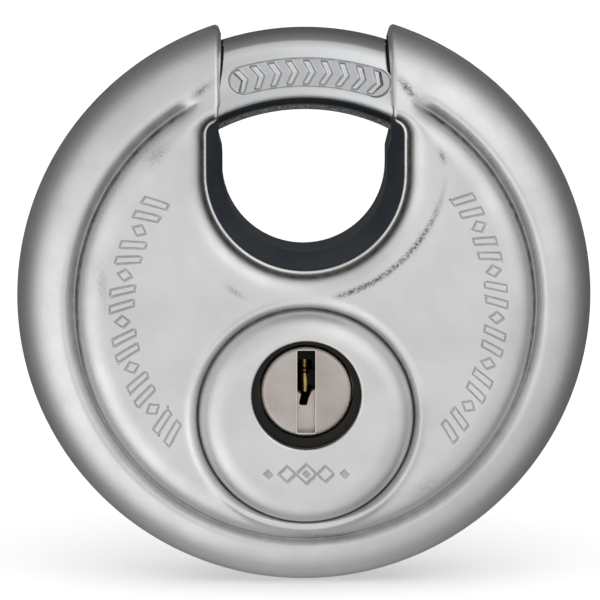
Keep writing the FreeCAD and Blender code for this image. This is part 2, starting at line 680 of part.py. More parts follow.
plug_turned = lathe("plug_turned", [
    (0.0, -D["tail_end"]), (0.0, D["plug_front"]),
    (D["plug_head"] - D["plug_edge"], D["plug_front"],
     (D["plug_head"] - D["plug_edge"], float(D["plug_front"] - D["plug_edge"]), D["plug_edge"])),
    (D["plug_head"], D["plug_front"] - D["plug_edge"]), (D["plug_head"], D["head_back"]),
    (D["plug_radius"], D["head_back"]), (D["plug_radius"], -D["plug_back"]),
    (D["tail_radius"], -D["plug_back"]), (D["tail_radius"], -D["clip_near"] + 0.05),
    (D["clip_inner"], -D["clip_near"] + 0.05), (D["clip_inner"], -D["clip_near"] - D["clip_gauge"] - 0.05),
    (D["tail_radius"], -D["clip_near"] - D["clip_gauge"] - 0.05), (D["tail_radius"], -D["tail_end"]),
])
tail_sides = [
    block("tail_side_left", -6.0, -D["tail_half"], -11.0, -D["plug_back"], -6.0, 6.0),
    block("tail_side_right", D["tail_half"], 6.0, -11.0, -D["plug_back"], -6.0, 6.0),
]
slot_half, slot_reach = D["slot_half"], D["slot_reach"]
key_slot = block("key_slot", -slot_half, slot_half, D["slot_floor"], 12.0, -slot_reach, slot_reach)
warded = slab("warded_mouth", [
    (-slot_half, slot_reach - 0.12), (-slot_half, -0.05), (-0.62, -0.5), (-0.87, -1.6), (-0.6, -D["keyway_floor"]),
    (0.1, -D["keyway_floor"]), (0.34, -0.9), (0.7, -0.15), (slot_half, 0.2), (slot_half, slot_reach - 0.12),
], D["keyway_front"], D["slot_floor"] + 0.5)
# One rounded ward is left standing in the mouth, on the right-hand side.
warded = cut("warded_tool", warded, rod("mouth_ward", D["ward_radius"], D["keyway_front"] - 0.5, D["ward_front"], slot_half, D["ward_height"]))
inner_key = block("keyway", -D["keyway_left"], D["keyway_right"], -D["keyway_back"], D["keyway_front"] + 0.1, -D["keyway_floor"], D["keyway_top"])
bores = [
    post("plug_chamber_%d" % (i + 1), D["chamber_radius"], -D["chamber_floor"], 7.0, 0.0 - f)
    for i, f in enumerate(PIN_F)
]
finish(cut("plug_solid", plug_turned, *(tail_sides + [key_slot, warded, inner_key] + bores)), "plug", None, plug_z)

# --------------------------------------------------------------- pin stacks
pin_b = D["pin_body"]
for i, f in enumerate(PIN_F):
    n = i + 1
    length = D["key_pin_length_%s" % "abcde"[i]]
    key_pin = doc.addObject("PartDesign::Body", "key_pin_%d_body" % n)
    sk = outline(key_pin, "key_pin_%d_sketch" % n, "XZ_Plane", [
        (0.0, 0.0), (0.3, 0.0), (pin_b, 0.8), (pin_b, length - 0.15), (pin_b - 0.15, length), (0.0, length),
    ])
    rev = key_pin.newObject("PartDesign::Revolution", "key_pin_%d_turned" % n)
    rev.Profile = sk
    rev.ReferenceAxis = (sk, ["V_Axis"])
    rev.Angle = 360.0
    key_pin.Tip = rev
    key_pin.Label = "key_pin_%d" % n
    put(key_pin, 0.0, 0.0 - f, down + plug_z - D["pin_rest"])
    NODES.append(key_pin)
    long = D["driver_length"]
    driver = doc.addObject("PartDesign::Body", "driver_pin_%d_body" % n)
    sk = outline(driver, "driver_pin_%d_sketch" % n, "XZ_Plane", [
        (0.0, 0.0), (pin_b - 0.15, 0.0), (pin_b, 0.15), (pin_b, long - 0.15), (pin_b - 0.15, long), (0.0, long),
    ])
    rev = driver.newObject("PartDesign::Revolution", "driver_pin_%d_turned" % n)
    rev.Profile = sk
    rev.ReferenceAxis = (sk, ["V_Axis"])
    rev.Angle = 360.0
    driver.Tip = rev
    driver.Label = "driver_pin_%d" % n
    put(driver, 0.0, 0.0 - f, down + plug_z + D["driver_rest"])
    NODES.append(driver)
    # Coil spring between the driver pin and the cover.
    wire = D["spring_wire"]
    low = plug_z + D["driver_rest"] + long + wire
    high = b_top - wire
    helix = doc.addObject("Part::Helix", "spring_%d_line" % n)
    helix.Pitch = (float(high) - float(low)) / 3.0
    bind(helix, "Pitch", (high - low) / 3.0)
    helix.SegmentLength = 0.25
    helix.Height = float(high) - float(low)
    bind(helix, "Height", high - low)
    helix.Radius = float(D["spring_radius"])
    bind(helix, "Radius", D["spring_radius"])
    ring_ = doc.addObject("Part::Circle", "spring_%d_wire" % n)
    ring_.Radius = float(wire)
    bind(ring_, "Radius", wire)
    put(ring_, D["spring_radius"], 0.0, 0.0, Rotation(Vector(1, 0, 0), 90))
    coil = doc.addObject("Part::Sweep", "spring_%d_coil" % n)
    coil.Sections = [ring_]
    coil.Spine = (helix, ["Edge%d" % (k + 1) for k in range(12)])
    coil.Solid = True
    coil.Frenet = True
    coil.Label = "pin_spring_%d" % n
    put(coil, 0.0, 0.0 - f, down + low)
    NODES.append(coil)

# --------------------------------------------------------------------- cores
SCREWS = ((-17.0, 3.0), (17.0, 3.0), (-17.3, -8.3), (17.3, -8.3))
POSTS = ((-17.3, -2.6), (17.3, -2.6))
r_core, r_notch = D["core_radius"], D["liner_outer"]


def core_cuts(tag):
    """Tools common to both cores: cylinder bore, pin housing, liner, mouth."""
    return [
        rod(tag + "_bore", D["body_radius"], -14.0, 14.0, 0.0, plug_z),
        block(tag + "_housing", -b_half, b_half, -14.0, 14.0, plug_z, b_top + D["cover_gauge"]),
        rod(tag + "_liner_seat", r_notch, -14.0, 14.0, 0.0, notch_z),
        block(tag + "_mouth", -r_notch, r_notch, -14.0, 14.0, notch_z, 40.0),
    ]


pad = cut(
    "front_core_pad",
    rod("front_core_pad_disc", D["core_pad_radius"], 4.0, D["core_pad"]),
    rod("front_core_pad_notch", D["core_notch"], 3.0, 9.0, 0.0, notch_z),
    block("front_core_pad_sides", -D["core_notch"], D["core_notch"], 3.0, 9.0, notch_z, 40.0),
)
front_blank = fuse(
    "front_core_blank",
    rod("front_core_disc", r_core, 0.0, D["core_front"]),
    pad,
    *[rod("front_post_%d" % i, D["post_radius"], 3.0, D["front_face"] - gauge, x, z) for i, (x, z) in enumerate(POSTS)]
)
front_screw_holes = [rod("front_screw_hole_%d" % i, D["screw_radius"], -1.0, 4.6, x, z) for i, (x, z) in enumerate(SCREWS)]
finish(cut("front_core_body", front_blank, *(core_cuts("front_core") + front_screw_holes)), "front_core")

rear_pad = cut(
    "rear_core_pad",
    rod("rear_core_pad_disc", r_core, -D["core_back"], -4.0),
    rod("rear_core_pad_notch", D["core_notch"] + 1.0, -9.0, -3.0, 0.0, notch_z),
    block("rear_core_pad_sides", -D["core_notch"] - 1.0, D["core_notch"] + 1.0, -9.0, -3.0, notch_z, 40.0),
)
rear_blank = fuse(
    "rear_core_blank",
    rod("rear_core_disc", r_core, -D["core_front"], 0.0),
    rear_pad,
    *[rod("rear_post_%d" % i, D["post_radius"], gauge - D["rear_face"], -3.0, x, z) for i, (x, z) in enumerate(POSTS)]
)
fork_pocket = cut(
    "fork_pocket",
    rod("fork_pocket_outer", 24.0, -9.0, -D["tail_flat"] + 0.4, 0.0, 0.0, 96.0, -138.0),
    rod("fork_pocket_inner", 16.95, -10.0, 0.0),
)
pin_track = cut(
    "pin_track",
    rod("pin_track_outer", orbit + pin_r + 0.4, -9.0, -D["pin_tip"] + 0.4, 0.0, plug_z, 140.0, -160.0),
    rod("pin_track_inner", orbit - pin_r - 0.4, -10.0, 0.0, 0.0, plug_z),
)
rear_screw_holes = []
for i, (x, z) in enumerate(SCREWS):
    rear_screw_holes.append(rod("rear_screw_hole_%d" % i, D["screw_clear"], -8.0, 1.0, x, z))
    rear_screw_holes.append(rod("rear_screw_seat_%d" % i, D["screw_head"] + 0.2, -9.0, -D["screw_seat"], x, z))
finish(
    cut("rear_core_body", rear_blank, *(core_cuts("rear_core") + [fork_pocket, pin_track] + rear_screw_holes)),
    "rear_core",
)

screws = []
for i, (x, z) in enumerate(SCREWS):
    head = rod("screw_head_%d" % i, D["screw_head"], -D["screw_seat"] - 2.0, -D["screw_seat"], x, z)
    shank = rod("screw_shank_%d" % i, D["screw_radius"], -D["screw_seat"], 4.4, x, z)
    socket = block("screw_socket_%d" % i, -0.4, 0.4, -D["screw_seat"] - 2.5, -D["screw_seat"] - 1.1, -3.0, 3.0)
    socket.Placement = Placement(Vector(x, socket.Placement.Base.y, z - 3.0), Rotation())
    socket.setExpression("Placement.Base.x", None)
    socket.setExpression("Placement.Base.z", None)
    socket.Placement = Placement(Vector(x - 0.4, socket.Placement.Base.y, z - 3.0), Rotation())
    screws.append(cut("screw_%d" % i, fuse("screw_blank_%d" % i, head, shank), socket))
screw_group = doc.addObject("Part::Compound", "core_screw_group")
screw_group.Links = screws
finish(screw_group, "core_screws")

# -------------------------------------------------------------- check and write
doc.recompute()
for obj in doc.Objects:
    state = [word for word in obj.State if word in ("Invalid", "Error")]
    if state:
        raise RuntimeError("%s is %s" % (obj.Name, state))
os.makedirs("parts", exist_ok=True)
for obj in NODES:
    shape = obj.Shape
    if shape.isNull() or not shape.isValid():
        raise RuntimeError("%s has no valid shape" % obj.Label)
for obj in NODES:
    shape = obj.Shape
    box = shape.BoundBox
    print(
        "%-18s solids %d  volume %9.2f  x %7.2f %7.2f  y %7.2f %7.2f  z %7.2f %7.2f"
        % (obj.Label, len(shape.Solids), shape.Volume, box.XMin, box.XMax, box.YMin, box.YMax, box.ZMin, box.ZMax)
    )
    shape.exportStep(os.path.join("parts", obj.Label + ".step"))
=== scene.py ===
"""Disc padlock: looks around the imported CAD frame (Blender 4.5)."""

import json
import math

import bpy
import numpy as np
from mathutils import Matrix, Vector
from mathutils.geometry import delaunay_2d_cdt

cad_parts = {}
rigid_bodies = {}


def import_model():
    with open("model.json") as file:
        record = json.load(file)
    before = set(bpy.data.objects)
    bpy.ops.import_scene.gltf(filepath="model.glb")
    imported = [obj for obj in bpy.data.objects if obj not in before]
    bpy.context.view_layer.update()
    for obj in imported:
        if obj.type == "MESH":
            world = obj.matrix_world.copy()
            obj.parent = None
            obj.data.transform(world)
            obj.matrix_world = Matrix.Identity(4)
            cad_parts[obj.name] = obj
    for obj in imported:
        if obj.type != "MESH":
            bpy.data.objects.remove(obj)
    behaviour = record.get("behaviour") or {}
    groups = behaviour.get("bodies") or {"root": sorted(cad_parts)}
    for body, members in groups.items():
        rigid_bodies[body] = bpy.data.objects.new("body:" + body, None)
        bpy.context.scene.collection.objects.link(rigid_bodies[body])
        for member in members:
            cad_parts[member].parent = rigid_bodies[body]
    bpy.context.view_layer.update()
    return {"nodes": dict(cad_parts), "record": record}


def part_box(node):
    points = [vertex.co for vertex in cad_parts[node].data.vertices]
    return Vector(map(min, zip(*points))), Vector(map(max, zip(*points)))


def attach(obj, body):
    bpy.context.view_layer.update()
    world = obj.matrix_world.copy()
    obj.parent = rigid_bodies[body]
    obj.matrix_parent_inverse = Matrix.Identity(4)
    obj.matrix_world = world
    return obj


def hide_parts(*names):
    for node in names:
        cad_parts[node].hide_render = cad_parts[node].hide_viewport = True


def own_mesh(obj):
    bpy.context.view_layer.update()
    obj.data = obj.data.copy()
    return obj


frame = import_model()
nodes = frame["nodes"]

MM = 0.001
DROP = 28.0  # the disc's centre is this far below the row frame's origin


# ------------------------------------------------------------- small helpers
def smin(a, b, k):
    h = np.clip(0.5 + 0.5 * (b - a) / k, 0.0, 1.0)
    return b * (1 - h) + a * h - k * h * (1 - h)


def smax(a, b, k):
    return -smin(-a, -b, k)


def ease(x, lo, hi):
    t = np.clip((x - lo) / (hi - lo), 0.0, 1.0)
    return t * t * (3 - 2 * t)


def root(x):
    return np.sqrt(np.maximum(x, 0.0))


# ------------------------------------------------------------ shell profiles
R0 = 31.0  # the flat domain is unrolled along the bead beyond this radius
BEAD_C, BEAD_R = 27.2, 7.8
A0 = math.asin((R0 - BEAD_C) / BEAD_R)
BOSS_Z = -13.15
HOLE_Z = -10.15
NOTCH_Z, NOTCH_R, NOTCH_TOP = 16.0, 11.9, 22.3
NECK = 10.95
# the rounded foot of each neck: a circle tangent to the neck and to the notch's corner
FOOT_R = 0.8
FOOT_X = NECK + FOOT_R
FOOT_Z = NOTCH_TOP - 1.6 + math.sqrt((1.8 + FOOT_R) ** 2 - (FOOT_X - (NOTCH_R - 1.6)) ** 2)
FOOT_A = math.atan2(FOOT_Z - (NOTCH_TOP - 1.6), FOOT_X - (NOTCH_R - 1.6))


def u_distance(x, z):
    """Distance outside the U-shaped notch, negative inside."""
    below = np.hypot(x, z - NOTCH_Z) - NOTCH_R
    side = np.abs(x) - NOTCH_R
    top = z - NOTCH_TOP
    k = 1.6  # rounded outer corner at the foot of the neck
    a, b = side + k, top + k
    corner = np.minimum(np.maximum(a, b), 0.0) + np.hypot(np.maximum(a, 0), np.maximum(b, 0)) - k
    return np.where(z < NOTCH_Z, below, corner)


def groove_shift(theta):
    """The front groove runs a little wider towards the bottom."""
    return 0.9 * ease(np.abs(np.degrees(theta)), 90.0, 180.0)


def front_rim(r, theta):
    g = r - groove_shift(theta)
    shoulder = 5.797 + root(4.003 ** 2 - (g - 24.0) ** 2)
    s = np.where(g < 24.0, 9.8, np.where(g < 27.9, shoulder, 6.7 - 4.3 * (g - 27.9)))
    band = 6.7 + 0.579 * (g - 27.9)
    bead = root(BEAD_R ** 2 - (r - BEAD_C) ** 2)
    p = smax(s, smin(band, bead, 0.35), 0.16)
    t = np.clip((r - 24.0) / 5.5, 0.0, 1.0)
    y1 = math.sqrt(BEAD_R ** 2 - 2.3 ** 2)
    m1 = -2.3 / y1 * 5.5
    fill = 9.8 * (2 * t ** 3 - 3 * t ** 2 + 1) + y1 * (3 * t ** 2 - 2 * t ** 3) + m1 * (t ** 3 - t ** 2)
    fill = np.where(r > 29.5, bead, fill)
    w = 1.0 - ease(np.abs(np.degrees(theta)), 26.0, 33.0)
    return p + (fill - p) * w


def rear_rim(r, theta):
    shoulder = 6.5 + root(25.0 - (r - 22.904) ** 2)
    s = np.where(r < 22.904, 11.5, np.where(r < 27.88, shoulder, 6.9 - 6.0 * (r - 27.88)))
    band = 6.7 + 0.579 * (r - 27.9)
    bead = root(BEAD_R ** 2 - (r - BEAD_C) ** 2)
    p = smax(s, smin(band, bead, 0.35), 0.16)
    t = np.clip((r - 22.9) / 6.6, 0.0, 1.0)
    y1 = math.sqrt(BEAD_R ** 2 - 2.3 ** 2)
    m1 = -2.3 / y1 * 6.6
    fill = 11.5 * (2 * t ** 3 - 3 * t ** 2 + 1) + y1 * (3 * t ** 2 - 2 * t ** 3) + m1 * (t ** 3 - t ** 2)
    fill = np.where(r > 29.5, bead, fill)
    w = 1.0 - ease(np.abs(np.degrees(theta)), 26.0, 33.0)
    return p + (fill - p) * w


def row_marks(a, b, pitch, reach, low, high):
    """Signed distance to a row of slanted dashes with a diamond in every third place."""
    a = np.asarray(a, float)
    n = np.round(a / pitch)
    inside = np.abs(n) <= reach
    la = a - n * pitch
    third = (n % 3) == 0
    slant = la - 0.32 * b
    dash = np.maximum(np.abs(slant) * 0.95 - 0.40, np.abs(b) - high)
    gem = (np.abs(la) * 1.25 + np.abs(b)) * 0.62 - low
    d = np.abs(np.where(third, gem, dash)) - 0.10
    return np.where(inside, d, 9.0)


def ornament(x, z):
    """How deep the stamped marks are, in mm."""
    r = np.hypot(x, z)
    th = np.degrees(np.arctan2(x, z))
    d1 = row_marks((-th - 94.0) * math.radians(1.0) * 22.1, r - 22.1, 1.9, 8, 0.55, 1.45)
    d2 = row_marks((th - 93.0) * math.radians(1.0) * 23.0, r - 23.0, 1.9, 8, 0.55, 1.3)
    d1 = np.where(x < 0, d1, 9.0)
    d2 = np.where(x > 0, d2, 9.0)
    bz = z + 19.75
    n = np.clip(np.round(x / 2.3), -2, 2)
    size = 0.86 - 0.16 * np.abs(n)
    gem = (np.abs(x - n * 2.3) * 0.95 + np.abs(bz)) * 0.72 - size
    ring = np.abs(gem) - 0.13
    gem = np.where(np.abs(n) == 0, np.minimum(ring, gem + 0.5), np.where(np.abs(n) == 1, ring, gem + 0.1))
    d = np.minimum(np.minimum(d1, d2), gem)
    return 0.17 * (1.0 - ease(d, -0.11, 0.11)), d


def notch_roll(d, low, top, reach):
    """The sheet turned down steeply into the notch, ending in a narrow ledge."""
    e = d - 0.28
    q = np.clip((reach - e) / reach, 0.0, 1.0)
    arc = low + (top - low) * (1.0 - q ** 2.6) ** (1 / 2.6)
    arc = np.where(e > reach, top + 0.30 * (e - reach), arc)
    ledge = np.where(d < 0.38, 6.7 + 0.35 * d, 6.833 - 6.0 * (d - 0.38))
    return smax(arc, ledge, 0.08)


def front_height(x, z, marks=True, soft=0.0):
    r = np.hypot(x, z)
    theta = np.arctan2(x, z)
    p = front_rim(r, theta)
    d = u_distance(x, z)
    p = smin(p, notch_roll(d, 6.2, 9.8, 4.6), 0.45 + soft)
    rho = np.hypot(x, z - BOSS_Z)
    q = np.clip((14.3 - rho) / 1.3, 0.0, 0.999)
    lip = np.where(rho < 14.3, 9.0 + 0.8 * np.sqrt(1 - q ** 2), 9.8 + 0.5 * (rho - 14.3) ** 2)
    p = smin(p, lip, 0.10 + soft)
    p = p + 0.34 * np.exp(-((rho - 13.95) / 0.50) ** 2) * ease(d, 0.6, 2.2)
    boss = np.where(
        rho < 9.5, 12.5,
        np.where(rho < 12.95, 9.0 + root(12.25 - (rho - 9.5) ** 2), 9.5895 - 7.5 * (rho - 12.95)),
    )
    p = smax(p, boss, 0.14 + soft)
    if marks:
        p = p - ornament(x, z)[0]
    return p


def rear_height(x, z, marks=True, soft=0.0):
    r = np.hypot(x, z)
    theta = np.arctan2(x, z)
    p = rear_rim(r, theta)
    d = u_distance(x, z)
    return smin(p, notch_roll(d, 6.2, 11.5, 5.4), 0.45 + soft)


def spread(u, v, height, **kw):
    """Surface point (x, f, z) of a point of the unrolled domain."""
    s = np.hypot(u, v)
    flat = s <= R0
    sn = np.where(s > 1e-9, u / np.maximum(s, 1e-9), 0.0)
    cs = np.where(s > 1e-9, v / np.maximum(s, 1e-9), 1.0)
    al = A0 + (np.maximum(s, R0) - R0) / BEAD_R
    rr = np.where(flat, s, BEAD_C + BEAD_R * np.sin(al))
    x, z = rr * sn, rr * cs
    f = np.where(flat, height(np.where(flat, x, R0 * sn), np.where(flat, z, R0 * cs), **kw), BEAD_R * np.cos(al))
    return np.stack([x, f, z], -1)


def to_domain(x, z):
    """Domain point over a place of the front view."""
    r = np.hypot(x, z)
    al = np.arcsin(np.clip((r - BEAD_C) / BEAD_R, -1, 1))
    s = np.where(r <= R0, r, R0 + BEAD_R * (al - A0))
    k = s / np.maximum(r, 1e-9)
    return x * k, z * k


def normals(u, v, height, **kw):
    e = 0.02
    du = spread(u + e, v, height, **kw) - spread(u - e, v, height, **kw)
    dv = spread(u, v + e, height, **kw) - spread(u, v - e, height, **kw)
    n = np.cross(dv, du)  # (x, f, z) with f along -y
    n = n / np.linalg.norm(n, axis=-1, keepdims=True)
    p = spread(u, v, height, **kw)
    flat = (np.hypot(u, v) <= R0)[:, None]
    bead = n[:, 1:2] + 0.02 * np.sum(n * p, -1, keepdims=True)
    return n * np.where(np.where(flat, n[:, 1:2], bead) < 0, -1.0, 1.0)


# ------------------------------------------------------- the domain's outline
def outline_rows(end, seam_fillet):
    """Outer loop of a shell's domain: (u, v, fillet) going clockwise from the right neck's foot."""
    s_end = end - seam_fillet
    foot_z = FOOT_Z
    # right neck, upwards
    al = A0 + (s_end - R0) / BEAD_R
    rr_end = BEAD_C + BEAD_R * math.sin(al)
    # the neck's line in the domain, parametrised by arc angle on the bead
    line = []
    z = foot_z
    while math.hypot(NECK, z) < R0:
        line.append((NECK, z))
        z += 0.3
    a_start = math.asin((math.hypot(NECK, z) - BEAD_C) / BEAD_R)
    for a in np.linspace(max(a_start, A0), al, max(8, int((al - a_start) * BEAD_R / 0.3))):
        r = BEAD_C + BEAD_R * math.sin(a)
        s = R0 + BEAD_R * (a - A0)
        sn = NECK / r
        line.append((s * sn, s * math.sqrt(1 - sn * sn)))
    th_neck = math.asin(NECK / rr_end)
    up = [(u, v, 0.5) for u, v in line]
    arc = []
    for t in np.linspace(th_neck, 2 * math.pi - th_neck, 900):
        arc.append((s_end * math.sin(t), s_end * math.cos(t), seam_fillet))
    down_ = [(-u, v, 0.5) for u, v in reversed(line)]
    # left foot: round corner, ledge, straight side, circle, then the mirror
    d0 = 0.2
    half = NOTCH_R + d0
    top = NOTCH_TOP + d0
    left = []
    for t in np.linspace(0, FOOT_A, 7)[1:-1]:
        left.append((-FOOT_X + FOOT_R * math.cos(t), FOOT_Z - FOOT_R * math.sin(t), 0.3))
    # outer corner of the U, radius grows with the distance
    k = 1.6 + d0
    # corner centre (half - k, top - k): from the ledge at x = -(half-k)... to the side
    for t in np.linspace(math.pi / 2 - FOOT_A, math.pi / 2, 8):
        left.append((-(half - k) - k * math.sin(t), (top - k) + k * math.cos(t), 0.22))
    zz = top - k
    while zz > NOTCH_Z + 0.3:
        zz -= 0.35
        if zz > NOTCH_Z + 0.1:
            left.append((-half, zz, 0.2))
    bowl = []
    for t in np.linspace(-90.0, -270.0, 121):
        bowl.append((half * math.sin(math.radians(t)), NOTCH_Z + half * math.cos(math.radians(t)), 0.2))
    right = [(-x, zz, fl) for x, zz, fl in reversed(left)]
    loop = up + arc[1:-1] + down_ + left + bowl + right
    out = [loop[0]]
    for p in loop[1:]:
        if math.hypot(p[0] - out[-1][0], p[1] - out[-1][1]) > 0.05:
            out.append(p)
    if math.hypot(out[0][0] - out[-1][0], out[0][1] - out[-1][1]) < 0.05:
        out.pop()
    return np.array(out)


def hole_loop():
    t = np.linspace(0, 2 * math.pi, 181)[:-1]
    return np.stack([6.9 * np.sin(t), HOLE_Z + 6.9 * np.cos(t), np.full(180, 0.3)], -1)


def domain_gap(u, v, s_end, hole):
    """How far a domain point is inside the outline; negative outside."""
    s = np.hypot(u, v)
    al = A0 + (np.maximum(s, R0) - R0) / BEAD_R
    rr = np.where(s <= R0, s, BEAD_C + BEAD_R * np.sin(al))
    k = rr / np.maximum(s, 1e-9)
    x, z = u * k, v * k
    g = s_end - s
    g = np.minimum(g, u_distance(x, z) - 0.2)
    mouth = np.where(z > NOTCH_TOP - 1.0, np.abs(x) - NECK, 99.0)
    # round foot of the neck
    fx, fz = np.abs(x) - FOOT_X, z - FOOT_Z
    foot = np.where((fx < 0) & (fz < 0) & (fz > math.tan(FOOT_A) * fx) & (z > NOTCH_TOP - 1.6),
                    FOOT_R - np.hypot(fx, fz), 99.0)
    g = np.minimum(g, mouth)
    g = np.minimum(g, foot)
    if hole:
        g = np.minimum(g, np.hypot(x, z - HOLE_Z) - 6.9)
    return g, x, z


ROWS = (0.27, 0.33, 0.41, 0.52, 0.68, 0.90)


def notch_rows():
    """Points in rows beside the notch, so that its ledge and bend stay clean."""
    pts = []
    for d in ROWS:
        rad = NOTCH_R + d
        t = np.radians(np.linspace(-90.0, -270.0, int(math.pi * rad / 0.24)))
        pts.append(np.stack([rad * np.sin(t), NOTCH_Z + rad * np.cos(t)], -1))
        zz = np.arange(NOTCH_Z + 0.24, NOTCH_TOP - 1.62, 0.24)
        a = np.radians(np.arange(0.0, 60.0, 8.0))
        cx = NOTCH_R - 1.6 + (1.6 + d) * np.cos(a)
        cz = NOTCH_TOP - 1.6 + (1.6 + d) * np.sin(a)
        cx, cz = cx[cx > 11.5], cz[cx > 11.5]
        for sg in (-1, 1):
            pts.append(np.stack([np.full(len(zz), sg * rad), zz], -1))
            pts.append(np.stack([sg * cx, cz], -1))
    return np.concatenate(pts)


def ring_rows(centre_z, radii, pitch, widen):
    """Rows of points along a round crease."""
    pts = []
    for rad in radii:
        t = np.arange(0.0, 2 * math.pi, pitch / rad) + 0.3 * rad
        t = np.where(t > 2 * math.pi, t - 2 * math.pi, t)
        rr = rad + widen(np.where(t > math.pi, t - 2 * math.pi, t))
        pts.append(np.stack([rr * np.sin(t), centre_z + rr * np.cos(t)], -1))
    return np.concatenate(pts)


def fill_points(s_end, hole, front, coarse):
    """Graded points by quartering squares until they are as small as the shape asks."""
    size = 3.2
    half = 42.0
    n = int(2 * half / size) + 1
    ax = (np.arange(n) - n / 2 + 0.5) * size
    U, V = np.meshgrid(ax + 0.037, ax - 0.021)
    U, V = U.ravel(), V.ravel()
    out = []
    while len(U):
        g, x, z = domain_gap(U, V, s_end, hole)
        keep = g > -size
        U, V, g, x, z = U[keep], V[keep], g[keep], x[keep], z[keep]
        r = np.hypot(x, z)
        if coarse:
            want = np.minimum(1.6, 0.5 + 0.5 * np.maximum(g, 0))
        else:
            want = np.minimum(0.95, 0.20 + 0.40 * np.maximum(g, 0))
            gs = groove_shift(np.arctan2(x, z)) if front else 0.0
            want = np.minimum(want, 0.20 + 0.7 * np.maximum(np.abs(r - gs - 27.9) - 0.35, 0))
            want = np.minimum(want, 0.24 + 0.7 * np.maximum(np.abs(r - 0.62 * gs - 29.25) - 0.4, 0))
            want = np.minimum(want, 0.12 + 0.45 * np.maximum(np.abs(u_distance(x, z) - 0.5) - 0.35, 0))
            if front:
                rho = np.hypot(x, z - BOSS_Z)
                want = np.minimum(want, 0.17 + 0.7 * np.maximum(np.abs(rho - 13.1) - 0.35, 0))
                want = np.minimum(want, 0.22 + 0.6 * np.maximum(np.abs(rho - 14.2) - 0.4, 0))
                want = np.minimum(want, 0.45 + 0.5 * np.maximum(np.abs(rho - 11.3) - 1.9, 0))
                m = ornament(x, z)[1]
                want = np.minimum(want, 0.14 + 0.7 * np.maximum(np.abs(m) - 0.16, 0))
            want = np.minimum(want, 0.35 + 0.25 * np.maximum(u_distance(x, z) - 5.0, 0))
        split = size > want
        done = ~split & (g > 0.42 * size)
        out.append(np.stack([U[done], V[done]], -1))
        U, V = U[split], V[split]
        q = size / 4
        U = np.concatenate([U - q, U + q, U - q, U + q])
        V = np.concatenate([V - q, V - q, V + q, V + q])
        size /= 2
        if size < 0.06:
            break
    out = np.concatenate(out)
    if coarse:
        return out
    near = (u_distance(out[:, 0], out[:, 1]) < ROWS[-1] + 0.10) & (np.hypot(out[:, 0], out[:, 1]) < R0)
    foot = (np.abs(out[:, 0]) < 11.5) & (out[:, 1] > NOTCH_TOP - 1.6)
    out = np.concatenate([out[~near | foot], notch_rows()])
    # the groove's crease, and the boss's
    shift = groove_shift if front else (lambda t: 0.0 * t)
    x, z = out[:, 0], out[:, 1]
    gr = np.hypot(x, z) - shift(np.arctan2(x, z))
    away = np.abs(np.arctan2(x, z)) > math.radians(25.0)
    rows = ring_rows(0.0, (27.62, 27.74, 27.84, 27.93, 28.03, 28.16), 0.27, shift)
    rows = rows[np.abs(np.arctan2(rows[:, 0], rows[:, 1])) > math.radians(25.0)]
    out = np.concatenate([out[~((np.abs(gr - 27.89) < 0.35) & away)], rows])
    if front:
        rho = np.hypot(out[:, 0], out[:, 1] - BOSS_Z)
        rows = ring_rows(BOSS_Z, (12.84, 12.92, 12.98, 13.04, 13.10, 13.17, 13.27), 0.24, lambda t: 0.0 * t)
        out = np.concatenate([out[np.abs(rho - 13.055) > 0.29], rows])
    return out


